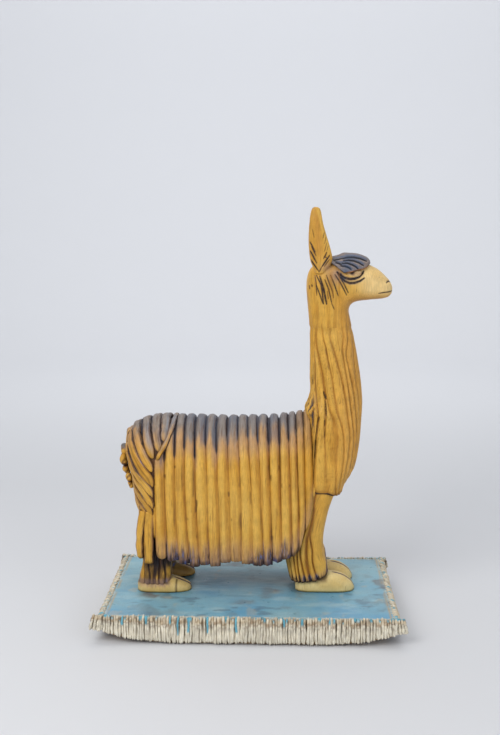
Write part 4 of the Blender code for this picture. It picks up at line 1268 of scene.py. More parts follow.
EYE_LINES = [
    ([(0.0790, 0.3294), (0.0818, 0.3268), (0.0857, 0.3243), (0.0903, 0.3232), (0.0950, 0.3235),
      (0.0990, 0.3252), (0.1022, 0.3282), (0.1029, 0.3302)], 0.00175, 1.0),
    ([(0.0822, 0.3249), (0.0857, 0.3214), (0.0904, 0.3194), (0.0950, 0.3197), (0.1002, 0.3215),
      (0.1036, 0.3238)], 0.00150, 0.95),
]
FACE_LINES = [
    ([(0.1246, 0.3192), (0.1258, 0.3204), (0.1274, 0.3203), (0.1290, 0.3190)], 0.00085, 1.0),
    ([(0.1175, 0.3096), (0.1225, 0.3103), (0.1275, 0.3109), (0.1312, 0.3119)], 0.00075, 0.95),
]
EAR_POWER = 2.2
# An eye's middle as (x, z), and half its length, height and depth.
EYE_AT = (0.0934, 0.3277)
EYE_HALF = (0.0080, 0.0038, 0.0024)
PUPIL_AT, PUPIL_HALF = (0.0925, 0.3288), (0.0021, 0.0020)


def closed_mesh(name, grids):
    """A mesh of closed tubes through rings of points."""
    verts, faces = [], []
    for grid in grids:
        rows, cols = grid.shape[:2]
        start = len(verts)
        verts += grid.reshape(-1, 3).tolist()
        for r in range(rows - 1):
            for c in range(cols):
                d = (c + 1) % cols
                faces.append((start + r * cols + c, start + r * cols + d,
                              start + (r + 1) * cols + d, start + (r + 1) * cols + c))
        faces.append(tuple(start + c for c in range(cols))[::-1])
        faces.append(tuple(start + (rows - 1) * cols + c for c in range(cols)))
    mesh = bpy.data.meshes.new(name)
    mesh.from_pydata(verts, [], faces)
    return mesh


def remeshed(mesh, size, smoothing):
    """The mesh remade as one even skin, with its corners eased."""
    body = linked(mesh.name, mesh)
    modifier = body.modifiers.new("skin", "REMESH")
    modifier.mode = "VOXEL"
    modifier.voxel_size = size
    skin = bpy.data.meshes.new_from_object(body.evaluated_get(bpy.context.evaluated_depsgraph_get()))
    bpy.data.objects.remove(body)
    count = len(skin.vertices)
    co = np.zeros(count * 3)
    skin.vertices.foreach_get("co", co)
    co = co.reshape(-1, 3)
    edges = np.zeros(len(skin.edges) * 2, np.int32)
    skin.edges.foreach_get("vertices", edges)
    edges = edges.reshape(-1, 2)
    degree = np.bincount(edges.ravel(), minlength=count)[:, None]
    for step in range(smoothing):
        total = np.stack([np.bincount(edges[:, 0], co[edges[:, 1], k], count)
                          + np.bincount(edges[:, 1], co[edges[:, 0], k], count) for k in range(3)], 1)
        pull = 0.6 if step % 2 == 0 else -0.62
        co = co + (total / degree - co) * pull
    skin.vertices.foreach_set("co", co.ravel())
    skin.update()
    return skin, co


def vertex_normals(mesh):
    normals = np.zeros(len(mesh.vertices) * 3)
    mesh.vertices.foreach_get("normal", normals)
    return normals.reshape(-1, 3)


def head_rings():
    rows, cols = 110, 64
    t = np.linspace(0, 1, len(HEAD_RINGS))
    at = np.linspace(0, 1, rows)
    tx, tz, jx, jz, wide = (curve(np.c_[t, part], at)[:, None] for part in np.array(HEAD_RINGS).T)
    angle = turn_of(cols)[None, :]
    square = 2.3 + 0.9 * bump(at, 0.55, 0.25)[:, None]
    u, v = superellipse(angle, np.where(np.sin(angle) < 0, square, 2.3))
    return np.stack([(tx + jx) / 2 + (tx - jx) / 2 * v, BODY_Y + wide * u,
                     (tz + jz) / 2 + (tz - jz) / 2 * v], -1)


def ear_rings(side):
    rows, cols = 60, 40
    table = np.array(EAR)
    z = np.linspace(table[0, 0], table[-1, 0], rows)[:, None]
    back, front = curve(table[:, [0, 1]], z), curve(table[:, [0, 2]], z)
    share = (z - z[0]) / (z[-1] - z[0])
    u, v = superellipse(turn_of(cols)[None, :], EAR_POWER)
    thick = 0.0052 * (1 - 0.52 * share)
    scoop = 0.0020 * bump(share, 0.42, 0.30)
    hollow = np.where(v > 0, scoop * np.clip(1 - (u / 0.72) ** 2, 0, 1), 0.0)
    y = 0.0128 + 0.0018 * np.sin(math.pi * share) + thick * v - hollow
    rings = np.stack([(back + front) / 2 + (front - back) / 2 * u, BODY_Y + side * y, z + 0 * u], -1)
    return rings[:, ::-1] if side < 0 else rings


def head_swellings(x, y, z, facing):
    """Brow, eye socket, nostril wing and an uneven surface, as heights over the head's form."""
    out = 0.0007 * bump(x, 0.0930, 0.0060) * bump(z, 0.3215, 0.0060) * facing
    out -= 0.0009 * bump(x, 0.0935, 0.0080) * bump(z, 0.3290, 0.0036) * facing
    out += 0.0006 * bump(x, 0.1275, 0.0026) * bump(z, 0.3175, 0.0026) * facing
    out += 0.00012 * fbm(x * 260, y * 260, z * 260, 51) * ramp(z, 0.290, 0.300)
    neck = z < 0.306
    out[neck] += neck_relief(x[neck], y[neck], z[neck])[0]
    return out - 0.0008 * below(z, 0.2795, 0.004)


def paint_head(x, y, z, side, facing):
    """The head's colour under its incised lines, and its stains."""
    drift = fbm(x * 70, y * 70, z * 70, 52)
    paint, stain = neck_paint(x, y, z)
    face = ramp(x + 0.35 * (z - 0.318), 0.086, 0.112) * ramp(z, 0.302, 0.314)
    paint = mix(paint, CREAM, face * (0.75 + 0.3 * drift))
    paint = mix(paint, AMBER_DEEP, below(z, 0.3085, 0.006) * ramp(x, 0.084, 0.096) * 0.45)
    cheek = np.maximum(bump(x, 0.0785, 0.0075) * bump(z, 0.3265, 0.0080),
                       0.75 * bump(x, 0.0705, 0.0070) * bump(z, 0.3335, 0.0050))
    paint = mix(paint, TAN, cheek * 0.80 * facing)
    paint = mix(paint, MAUVE, cheek ** 1.5 * (0.45 + 0.35 * drift) * facing)
    side_of_head = bump(x, 0.0690, 0.0100) * bump(z, 0.3180, 0.0110)
    paint = mix(paint, BROWN, side_of_head * (0.16 + 0.14 * drift) * facing)
    # the ears: orange in the hollow with broken painted shade in it, deeper behind it and paler along the
    # front edge
    hollow = bump(x + 0.09 * (z - 0.361), 0.0617, 0.0026) * ramp(z, 0.336, 0.350)
    hollow = hollow * below(z, 0.384, 0.006) * facing
    paint = mix(paint, ORANGE, hollow * 0.45)
    paint = mix(paint, AMBER_DEEP, hollow * ramp(noise(x * 600, z * 60, side, 55), -0.2, 0.6) * 0.30)
    paint = mix(paint, AMBER_DEEP, ramp(z, 0.332, 0.345) * below(x, 0.074, 0.001) * 0.28)
    pale = ramp(z, 0.340, 0.352) * ramp(x + 0.25 * (z - 0.352), 0.0668, 0.0690)
    return mix(paint, AMBER_LIT, pale * 0.7), stain


def cut_lines(x, z, facing, paint):
    """The incised lines on the head: how deep they go, and the paint with them in it."""
    depth = np.zeros(len(x))
    rough = ramp(fbm(x * 700, z * 700, 1.0, 53), -0.70, -0.05)
    for lines, deep, halo in ((CHEEK_LINES, 0.00050, BROWN), (EAR_LINES, 0.00050, BROWN),
                              (EYE_LINES, 0.0012, SLATE), (FACE_LINES, 0.0006, BROWN)):
        for line, width, strength in lines:
            near = groove(x, z, line, width) * facing
            depth += deep * near * strength
            paint = mix(paint, halo, np.clip(near * 2.2, 0, 1) * 0.55)
            paint = mix(paint, BLACK, ramp(near, 0.25, 0.75) * strength * (0.60 + 0.40 * rough))
    for line, width, _ in EYE_LINES:
        rim = groove(x, z, line, width * 1.7) - groove(x, z, line, width)
        depth -= 0.0003 * rim * facing
    return depth, paint


def build_head():
    """The head and ears as one skin. Gives it back as a tree, for the neck to follow."""
    mesh = closed_mesh("head_form", [head_rings(), ear_rings(-1), ear_rings(1)])
    size = 0.00049
    skin, co = remeshed(mesh, size, 8)
    normal = vertex_normals(skin)
    x, y, z = co.T
    side = np.sign(y - BODY_Y)
    facing = ramp(normal[:, 1] * side, 0.12, 0.35)
    paint, stain = paint_head(x, y, z, side, facing)
    depth, paint = cut_lines(x, z, facing, paint)
    streaks = ramp(fbm(x * 420, z * 34, side, 54), 0.0, 0.45) * below(z, 0.335, 0.010)
    paint = mix(paint, AMBER_DEEP, streaks * below(x, 0.092, 0.012) * 0.45)
    out = head_swellings(x, y, z, facing) - depth
    skin.vertices.foreach_set("co", (co + normal * out[:, None]).ravel())
    skin.update()
    lie = np.stack([x, z, y], -1) * 1000
    dress(skin, (paint, lie, stain), "head_skin", "amber_clay", "head", "ear_right", "ear_left")
    return BVHTree.FromPolygons([v.co for v in skin.vertices], [f.vertices for f in skin.polygons])


def build_eyes():
    rows, cols = 24, 36
    t = (np.linspace(0.03, 0.97, rows) * math.pi)[:, None]
    a = turn_of(cols)[None, :]
    long, tall, deep = EYE_HALF
    px, pz = long * np.sin(t) * np.cos(a), tall * np.sin(t) * np.sin(a)
    py = deep * np.cos(t) + 0 * px
    x, z = EYE_AT[0] + px, EYE_AT[1] + pz + px * 0.12
    for word, side in (("right", -1), ("left", 1)):
        points = np.stack([x, BODY_Y + side * (0.0156 + py), z], -1)
        tone = mix(TAN, CREAM, 0.35 + 0.4 * noise(x * 500, z * 500, 1.0, 61))
        off = ((x - PUPIL_AT[0]) / PUPIL_HALF[0]) ** 2 + ((z - PUPIL_AT[1]) / PUPIL_HALF[1]) ** 2
        tone = mix(tone, BLACK, np.exp(-off ** 2))
        tone = mix(tone, BROWN, ramp(np.abs(px), 0.0060, 0.0080) * 0.6)
        piece = Piece()
        piece.grid(points, tone, wrap=True, poles=True)
        piece.build("eye_ball_" + word, "eye_clay", "eye_" + word)


# The lower edge of the tuft over the brow, its crest, and the grooves in it, as (x, z).
BROW_EDGE = [(0.0735, 0.3372), (0.0765, 0.3352), (0.0797, 0.3330), (0.0825, 0.3305), (0.0848, 0.3289),
             (0.0890, 0.3290), (0.0943, 0.3301), (0.0989, 0.3313), (0.1029, 0.3319), (0.1063, 0.3336),
             (0.1098, 0.3368)]
BROW_CREST = [(0.0735, 0.3425), (0.0765, 0.3432), (0.0805, 0.3442), (0.0850, 0.3462), (0.0910, 0.3461),
              (0.0980, 0.3455), (0.1040, 0.3436), (0.1080, 0.3414), (0.1098, 0.3392)]
BROW_GROOVES = [
    ([(0.0835, 0.3414), (0.0880, 0.3424), (0.0940, 0.3426), (0.1000, 0.3416), (0.1060, 0.3392)], 0.0011),
    ([(0.0845, 0.3396), (0.0890, 0.3402), (0.0940, 0.3397), (0.0985, 0.3380), (0.1028, 0.3354)], 0.0011),
    ([(0.0835, 0.3374), (0.0880, 0.3376), (0.0925, 0.3362), (0.0960, 0.3341), (0.0978, 0.3322)], 0.0011),
    ([(0.0822, 0.3352), (0.0860, 0.3348), (0.0895, 0.3334), (0.0915, 0.3316)], 0.0011),
    ([(0.0760, 0.3402), (0.0800, 0.3408), (0.0840, 0.3418)], 0.0007),
    ([(0.0775, 0.3378), (0.0805, 0.3372), (0.0830, 0.3368)], 0.0007),
]


BROW_WIDE = [(0.0735, 0.0150), (0.0800, 0.0186), (0.0870, 0.0198), (0.0960, 0.0188), (0.1030, 0.0165),
             (0.1070, 0.0125), (0.1098, 0.0060)]
BROW_THICK = 0.0030
TUFT, TUFT_DARK, TUFT_LIT = srgb(132, 116, 108), srgb(104, 102, 108), srgb(158, 138, 124)
TUFT_BLUE, TUFT_LOW_BLUE = srgb(66, 86, 116), srgb(70, 92, 122)
TUFT_GROOVE, TUFT_HATCH = srgb(14, 16, 26), srgb(36, 30, 34)
TUFT_RIM, TUFT_RIM_DARK, TUFT_INSIDE = srgb(150, 96, 44), srgb(44, 28, 20), srgb(104, 58, 20)


def build_forelock():
    """The tuft over the brow: a flap with grooves that sweep forward, and an edge of its own."""
    rows, cols = 110, 96
    first, final = BROW_EDGE[0][0], BROW_EDGE[-1][0]
    x = np.linspace(first, final, rows)[:, None]
    edge, crest, wide = (curve(table, x) for table in (BROW_EDGE, BROW_CREST, BROW_WIDE))
    t = np.linspace(-1, 1, cols)[None, :]
    y = wide * np.sign(t) * np.sin(np.abs(t) * math.pi / 2) ** 0.85
    points = np.stack([x + 0 * t, BODY_Y + y, crest - (crest - edge) * np.abs(t) ** 1.25], -1)
    normal = unit(np.cross(np.gradient(points, axis=0), np.gradient(points, axis=1)))
    normal *= np.sign(normal[..., 2:3] + 1e-9)
    px, py, pz = np.moveaxis(points, -1, 0)
    drift = fbm(px * 160, py * 160, pz * 160, 71)
    paint = mix(TUFT, TUFT_DARK, 0.45 + 0.7 * drift)
    out = 0.0001 * drift
    for line, width in BROW_GROOVES:
        near = groove(px, pz, line, width)
        out = out - 0.0011 * near
        paint = mix(paint, TUFT_LIT, groove(px, pz + 0.0013, line, width * 0.9) * 0.60)
        paint = mix(paint, TUFT_BLUE, groove(px, pz - 0.0014, line, width * 1.3) * 0.75)
        paint = mix(paint, TUFT_GROOVE, ramp(near, 0.12, 0.55) * 0.97)
    low_blue = below(pz, 0.3375, 0.005) * ramp(px, 0.080, 0.086) * below(px, 0.104, 0.012)
    paint = mix(paint, TUFT_LOW_BLUE, low_blue * (0.35 + 0.5 * drift))
    for k in range(6):
        stroke = [(0.0745 + 0.0013 * k, 0.3412 - 0.0007 * k), (0.0768 + 0.0014 * k, 0.3384 - 0.0008 * k)]
        hatch = groove(px, pz, stroke, 0.00055)
        out = out - 0.0003 * hatch
        paint = mix(paint, TUFT_HATCH, hatch * 0.8)
    rim = below((1 - np.abs(t)) * (crest - edge), 0.00110, 0.0007)
    paint = mix(paint, TUFT_RIM, rim * (px > 0.0865))
    paint = mix(paint, TUFT_RIM_DARK, rim * ramp(noise(px * 400, 1.0, 2.0, 72), -0.2, 0.5) * 0.8)
    points = points + normal * out[..., None]
    inner = points - normal * BROW_THICK
    inner[..., 2] += 0.0006
    inside = np.broadcast_to(TUFT_INSIDE, paint.shape)
    piece = Piece()
    piece.grid(np.concatenate([points, inner[:, ::-1]], axis=1), np.concatenate([paint, inside], axis=1),
               wrap=True, poles=True)
    piece.build("forelock_flap", "stained_clay", "forelock")


# ---- legs ------------------------------------------------------------------------------------
# A front leg's front and back, and the grooves between its strips, as (z, x).
LEG_FRONT = [(0.0360, 0.0742), (0.0450, 0.0738), (0.0515, 0.0730), (0.0606, 0.0700), (0.0696, 0.0690),
             (0.0825, 0.0695), (0.0928, 0.0712), (0.1056, 0.0740), (0.1234, 0.0799), (0.1300, 0.0815)]
LEG_BACK = [(0.0340, 0.0395), (0.0450, 0.0368), (0.0580, 0.0346), (0.0750, 0.0362), (0.0850, 0.0405),
            (0.0950, 0.0450), (0.1050, 0.0480), (0.1300, 0.0492)]
LEG_GROOVES = [
    [(0.130, 0.0640), (0.1207, 0.0607), (0.106, 0.0594), (0.098, 0.0582), (0.0884, 0.0566),
     (0.0800, 0.0566), (0.0688, 0.0587), (0.0589, 0.0590), (0.0509, 0.0604), (0.0440, 0.0624),
     (0.0350, 0.0655)],
    [(0.130, 0.0638), (0.1207, 0.0604), (0.106, 0.0591), (0.098, 0.0578), (0.0884, 0.0556),
     (0.0800, 0.0537), (0.0687, 0.0532), (0.0538, 0.0540), (0.0439, 0.0562), (0.0350, 0.0585)],
    [(0.130, 0.0575), (0.118, 0.0562), (0.109, 0.0557), (0.095, 0.0532), (0.0854, 0.0506),
     (0.0765, 0.0479), (0.0666, 0.0468), (0.0538, 0.0486), (0.0440, 0.0507), (0.0350, 0.0525)],
    [(0.130, 0.0540), (0.109, 0.0525), (0.0854, 0.0475), (0.0765, 0.0440), (0.0636, 0.0440),
     (0.0537, 0.0448), (0.0400, 0.0470), (0.0350, 0.0480)],
    [(0.130, 0.0520), (0.109, 0.0510), (0.0854, 0.0450), (0.0765, 0.0412), (0.0636, 0.0407),
     (0.0537, 0.0418), (0.0400, 0.0440), (0.0350, 0.0450)],
    [(0.130, 0.0510), (0.109, 0.0500), (0.0854, 0.0428), (0.0765, 0.0386), (0.0636, 0.0368),
     (0.0537, 0.0382), (0.0400, 0.0408), (0.0350, 0.0418)],
]
HIND_LEG = [  # height, back, front, inner side, outer side
    (0.0330, -0.1064, -0.0760, 0.0070, 0.0325), (0.0380, -0.1058, -0.0762, 0.0070, 0.0322),
    (0.0450, -0.1040, -0.0766, 0.0065, 0.0312), (0.0520, -0.1026, -0.0772, 0.0060, 0.0306),
    (0.0600, -0.1030, -0.0790, 0.0050, 0.0306), (0.0700, -0.1045, -0.0810, 0.0045, 0.0310),
    (0.0850, -0.1045, -0.0850, 0.0030, 0.0318), (0.1080, -0.1030, -0.0870, 0.0020, 0.0320),
]
# The grooves in a hind leg, along x.
HIND_GROOVES = [-0.1004, -0.0958, -0.0905, -0.0868, -0.0815]
LEG_POWER = 2.6
# The lower ends of the strips on a front leg, as places along x and the height at each.
LEG_HEM = ([0.0370, 0.0436, 0.0520, 0.0580, 0.0616, 0.0663, 0.0710, 0.0745],
           [0.0362, 0.0355, 0.0362, 0.0370, 0.0378, 0.0391, 0.0418, 0.0460])
TIP_BLUE, SPOT_BLUE, TOE_VIOLET = srgb(92, 112, 158), srgb(108, 128, 176), srgb(66, 46, 78)


def tube_leg(section, grooves, base, top, rows, depth, dark, seed):
    """A leg of upright strips. section gives (back, front, inner, outer) at heights.

    base gives the height of its lower edge at places along x.
    """
    cols = 220
    angle = (np.arange(cols) + 0.5) * 2 * math.pi / cols
    outer_half = angle < math.pi
    turn = np.where(outer_half, angle, 2 * math.pi - angle)
    u, v = superellipse(turn, LEG_POWER)
    v = np.where(outer_half, v, -v)
    back, front = section(np.array([0.040]))[:2]
    low = base((back + front) / 2 + (front - back) / 2 * u)
    z = low + (top - low) * np.linspace(0, 1, rows)[:, None]
    back, front, inner, outer = (part + 0 * z for part in section(z))
    half, wide = (front - back) / 2, (outer - inner) / 2
    lines = [-0.3, 0.0] + [section_angle(g, back, front, LEG_POWER) for g in grooves(z)]
    lines += [math.pi - 0.25, math.pi + 0.3]
    turn = turn + 0 * z
    crown, near, which = ridges(turn, lines, (half + wide) * 0.62, 0.0008)
    deep, black = depth(z), dark(z)
    out = deep * (crown * 1.3 - near * 0.30) - deep * 0.55 + 0.00015 * noise(turn * 30, z * 40, seed, 80)
    points = np.stack([(back + front) / 2 + (half + out) * u, (inner + outer) / 2 + (wide + out) * v, z], -1)
    tone = mix(AMBER, AMBER_LIT, 0.40 + 0.6 * noise(z * 45, which * 3.1, seed, 81))
    # darker amber in the grooves and towards each strip's edges: glaze held in the hollows, with painted
    # shade
    tone = mix(tone, AMBER_DEEP, np.clip(near * 0.9 + ramp(-crown, -0.6, 0.0) * 0.4, 0, 1))
    broken = ramp(noise(z * 32, which * 4.3, seed, 84), -0.35, 0.3)
    tone = mix(tone, BROWN, near * np.clip(broken * 0.35 + deep / 0.0080, 0, 1) * 0.9)
    # painted shade, black, between the strips where dark asks for it: low on the front legs, all along the
    # hind ones
    tone = mix(tone, BLACK, below(crown, black * 0.80, 0.35) * (0.25 + 0.75 * black))
    lie = np.stack([turn * (half + wide) * 620, z * 1000, which + seed + 0 * z], -1)
    return points, tone, lie, stains(0.10 + 0.25 * near + 0.20 * black)


def paint_front_leg(points, paint, stain, side):
    """Blue tips, the coat's painted shadow, painted shade on the rear strips and under the tips, a few
    strokes and spots, and a violet edge to the front.
    """
    x, _, z = np.moveaxis(points, -1, 0)
    above = z - np.interp(x, *LEG_HEM)
    tips = below(above, 0.0075, 0.006)
    streak = noise(x * 500, z * 60, side, 82)
    paint = mix(paint, TAN, below(above, 0.010, 0.008) * ramp(paint.mean(-1), 0.12, 0.20) * 0.55)
    blue = tips * ramp(streak, -0.2, 0.3) * below(paint.mean(-1), 0.10, 0.05) * ramp(x, 0.040, 0.048)
    paint = mix(paint, TIP_BLUE, blue * 0.85)
    # painted shade, brown, on the rear strips
    paint = mix(paint, BROWN, below(x, 0.0440, 0.006) * 0.22)
    under = curve(HEM_CLIMB, x) - z + 0.0020 * noise(x * 900, z * 40, side, 87)
    under = below(under, 0.0062, 0.0045) * ramp(under, -0.0080, -0.0040)
    paint = mix(paint, BLACK, under * ramp(z, 0.055, 0.060) * below(z, 0.0860, 0.006) * 0.85)
    for x_at, z_at in ((0.0509, 0.0392), (0.0570, 0.0402), (0.0630, 0.0412)):
        paint = mix(paint, SPOT_BLUE, bump(x, x_at, 0.0012) * bump(z, z_at, 0.0022) * 0.80)
    for x_at, z_at, tall in ((0.0592, 0.0925, 0.0065), (0.0606, 0.1060, 0.0040)):
        stroke = bump(x - 0.15 * (z - z_at), x_at, 0.00045) * bump(z, z_at, tall, 4)
        paint = mix(paint, BLACK, stroke * np.clip(0.50 + 0.6 * streak, 0.10, 0.8))
    paint = mix(paint, TOE_VIOLET, ramp(x, 0.0715, 0.0728) * below(z, 0.058, 0.006) * 0.9)
    # painted shade, black, along the strips' lower ends
    paint = mix(paint, BLACK, below(above, 0.0013, 0.0010) * 0.9)
    return paint, stain + stains(0.25 * tips, 0.15 * tips)


def build_front_leg(word, side):
    low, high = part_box("leg_front_" + word)
    inner, outer = sorted((abs(low[1] - BODY_Y), abs(high[1] - BODY_Y)))

    def section(z):
        flare = 0.0020 * (1 - ramp(z, 0.045, 0.105))
        return curve(LEG_BACK, z), curve(LEG_FRONT, z), inner, outer + 0.0004 - flare

    def grooves(z):
        return [curve(line, z) for line in LEG_GROOVES]

    def base(x):
        return np.interp(x, *LEG_HEM)

    def depth(z):
        return 0.0006 + 0.0013 * below(z, 0.096, 0.030)

    def dark(z):
        return 0.85 * below(z, 0.047, 0.007)

    points, paint, lie, stain = tube_leg(section, grooves, base, 0.1300, 130, depth, dark, side * 5)
    paint, stain = paint_front_leg(points, paint, stain, side)
    paint, points, lie, stain = turned_under(
        ((0.5, 0.006), (0.14, 0.002), (0.06, 0.0), (0.02, -0.0006)), paint,
        lambda inward: 0.5 + inward * 6, points, lie, stain)
    points[..., 1] = BODY_Y + side * points[..., 1]
    piece = Piece()
    piece.grid(points, paint, lie, wrap=True, stain=stain)
    piece.build("leg_strips_front_" + word, "amber_clay", "leg_front_" + word)


HIND_STRIPS = [  # path seen from the side, half width, thickness, how far out, rounding of its end
    ([(-0.1000, 0.1060), (-0.1014, 0.0970), (-0.1027, 0.0880), (-0.1035, 0.0790), (-0.1037, 0.0700),
      (-0.1032, 0.0640), (-0.1024, 0.0592)], 0.0040, 0.0050, 0.0306, 0.10),
    ([(-0.0942, 0.1060), (-0.0947, 0.0970), (-0.0953, 0.0850), (-0.0957, 0.0700), (-0.0959, 0.0548)],
     0.0049, 0.0052, 0.0318, 0.03),
    ([(-0.0903, 0.1240), (-0.0903, 0.1050), (-0.0903, 0.0900), (-0.0902, 0.0790)], 0.0030, 0.0044,
     0.0306, 0.20),
]


def paint_hind_leg(points, paint, side):
    """Soot over the leg but for its heel, painted shade from low on the leg upwards, mauve and blue at the
    foot.
    """
    x, _, z = np.moveaxis(points, -1, 0)
    heel = below(x, -0.0990, 0.003)
    paint = mix(paint, AMBER, heel * 0.6)
    ragged_dark = ramp(fbm(x * 260, z * 110, side, 85), -0.45, 0.20)
    paint = mix(paint, BLACK, ragged_dark * 0.72 * (1 - 0.8 * heel))
    # painted shade, black, from low on the leg upwards, less on the heel
    paint = mix(paint, BLACK, ramp(z, 0.045, 0.055) * (1 - 0.7 * heel))
    low = below(z, 0.0405, 0.004)
    paint = mix(paint, MAUVE, low * 0.7)
    tint = ramp(noise(x * 400, z * 50, side, 83), 0.1, 0.6)
    return mix(paint, BLUE, low * tint * ramp(x, -0.095, -0.080) * 0.8)


def build_hind_leg(word, side):
    table = np.array(HIND_LEG)

    def section(z):
        return [curve(table[:, [0, k]], z) for k in (1, 2, 3, 4)]

    def grooves(z):
        return [at + 0.0012 * noise(z * 75, i * 3.3, side, 86) for i, at in enumerate(HIND_GROOVES)]

    def base(x):
        return 0.0340 + 0 * x

    def depth(z):
        return 0.0014 + 0 * z

    def dark(z):
        return 0.75 + 0.25 * ramp(z, 0.040, 0.052)

    points, paint, lie, stain = tube_leg(section, grooves, base, 0.1080, 96, depth, dark, side * 7)
    paint = paint_hind_leg(points, paint, side)
    points[..., 1] = BODY_Y + side * points[..., 1]
    piece = Piece()
    piece.grid(points, paint, lie, wrap=True, stain=stain)
    for i, (line, half, thick, out, end) in enumerate(HIND_STRIPS):
        path = resample(np.array(line), 60)
        y = BODY_Y + side * (out + 0.0012 * np.sin(np.linspace(0, math.pi, 60)))
        path = np.stack([path[:, 0], y, path[:, 1]], -1)
        up = np.tile((0.30 * (i - 1), side, 0.0), (60, 1))
        add_strip(piece, path, up, half, thick, i * 3.3 + side * 4, 0.0, rounded_ends(60, 0.0, end), 0.9,
                  (0.2, -0.15, None)[i], 0.8)
    # the back of the leg
    z = np.linspace(0.1100, 0.0600, 50)
    for inset, seed in ((0.0055, 1), (0.0135, 2), (0.0215, 3)):
        path = np.stack([np.interp(z, [0.060, 0.075, 0.110], [-0.1008, -0.1030, -0.1022]),
                         BODY_Y + side * (0.0310 - inset) + 0 * z, z + 0.0012 * seed], -1)
        add_strip(piece, path, np.tile((-1.0, 0.15 * side, 0.0), (50, 1)), 0.0044, 0.0036,
                  seed * 7.7 + side, 0.0, rounded_ends(50, 0.0, 0.12), 0.9, 0.1, 0.8)
    piece.build("leg_strips_hind_" + word, "amber_clay", "leg_hind_" + word)


# How tall and how wide a foot is from heel to toe, as shares of its box.
FRONT_TALL = [(0, 0.50), (0.05, 0.72), (0.15, 0.92), (0.35, 1.0), (0.62, 0.99), (0.75, 0.90),
              (0.87, 0.70), (0.95, 0.46), (0.985, 0.28), (1.0, 0.20)]
FRONT_WIDE = [(0, 0.42), (0.04, 0.68), (0.14, 0.92), (0.35, 1.0), (0.65, 1.0), (0.80, 0.93),
              (0.90, 0.76), (0.965, 0.52), (1.0, 0.16)]
HIND_TALL = [(0, 0.70), (0.05, 0.86), (0.15, 0.96), (0.35, 1.0), (0.66, 1.02), (0.78, 0.84),
             (0.88, 0.66), (0.95, 0.50), (0.985, 0.38), (1.0, 0.26)]
HIND_WIDE = [(0, 0.40), (0.04, 0.68), (0.14, 0.92), (0.35, 1.0), (0.65, 0.98), (0.80, 0.86),
             (0.90, 0.68), (0.965, 0.46), (1.0, 0.16)]
HOOF_DEEP, HOOF_OCHRE, HOOF_LOW = srgb(196, 160, 84), srgb(176, 140, 66), srgb(150, 118, 50)
CLEFT, CREASE = srgb(58, 36, 62), srgb(52, 34, 22)


def foot_form(heel, toe, crest, y_mid, half, tall, wide):
    """A foot's rounded top, from heel to toe, and its flat sole."""
    rows, cols = 90, 72
    share = 0.5 - 0.5 * np.cos(np.linspace(0, 1, rows) * math.pi)
    u, lift = superellipse(np.linspace(0, math.pi, cols), 2.35)
    lift = np.maximum(lift, 0.0)
    x = (heel + (toe - heel) * share)[:, None] + 0 * u
    y = y_mid + half * curve(wide, share)[:, None] * u * (1 - 0.05 * (1 - lift))
    z = SOLE + 0.0004 + (crest - SOLE) * curve(tall, share)[:, None] * (0.10 + 0.90 * lift)
    upper = np.stack([x, y, z], -1)
    t = np.linspace(0, 1, 6)[:, None]
    under = upper[:, -1:] * (1 - t) + upper[:, :1] * t
    under[..., 1] = y_mid + (under[..., 1] - y_mid) * 0.96
    under[..., 2] = SOLE
    return np.concatenate([upper, under], axis=1)


def build_foot(node, side, front):
    low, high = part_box(node)
    heel, toe, crest = low[0], high[0], high[2]
    y_mid, half = (low[1] + high[1]) / 2, (high[1] - low[1]) / 2
    tall, wide = (FRONT_TALL, FRONT_WIDE) if front else (HIND_TALL, HIND_WIDE)
    points = foot_form(heel, toe, crest, y_mid, half, tall, wide)
    x, y, z = np.moveaxis(points, -1, 0)  # views: what moves them moves the points
    drift = fbm(x * 90, y * 90, z * 90, 91)
    paint = mix(HOOF, HOOF_DEEP, 0.25 + 0.6 * drift)
    if not front:
        paint = mix(paint, HOOF_OCHRE, 0.30)
    # painted shade, a darker ochre, near the sole
    paint = mix(paint, HOOF_LOW, below(z, SOLE + 0.0022, 0.0022) * 0.7)
    # painted shade over the far hind foot
    if not front and side > 0:
        paint = mix(paint, AMBER_DEEP, 0.45 + 0.3 * drift)
    start = heel + (toe - heel) * (0.58 if front else 0.62)
    cleft = bump(y, y_mid, 0.0014) * ramp(x, start, start + 0.006) * (z > SOLE + 0.002)
    z -= 0.0011 * cleft
    paint = mix(paint, CLEFT, ramp(cleft, 0.15, 0.6) * 0.95)
    if front:
        # painted shade, brown, on the foot's top behind the toe, under the leg
        behind = below(x, 0.0750, 0.004) * ramp(z, crest - 0.0085, crest - 0.0040)
        paint = mix(paint, BROWN, behind * 0.75)
    else:
        crease = bump(x, heel + (toe - heel) * 0.735, 0.00080) * ramp((y_mid - y) * -side, 0.002, 0.005)
        y -= side * 0.0006 * crease
        paint = mix(paint, CREASE, crease * 0.9)
        stained = z + 0.0012 * noise(x * 600, y * 300, 1.0, 92)
        behind = below(x, -0.0745, 0.006) * ramp(stained, crest - 0.0075, crest - 0.0030)
        paint = mix(paint, TAN, behind * 0.8)
        paint = mix(paint, MAUVE, behind * ramp(noise(x * 900, z * 200, 2.0, 93), -0.1, 0.5) * 0.8)
        # painted shade, black, on the foot's top under the leg's strips
        ragged_dark = z + 0.0010 * noise(x * 500, y * 200, 4.0, 94)
        paint = mix(paint, BLACK, behind * ramp(ragged_dark, crest - 0.0040, crest - 0.0022) * 0.75)
    piece = Piece()
    piece.grid(points, paint, wrap=True, poles=True)
    piece.build(node.replace("foot_", "hoof_"), "hoof_clay", node)


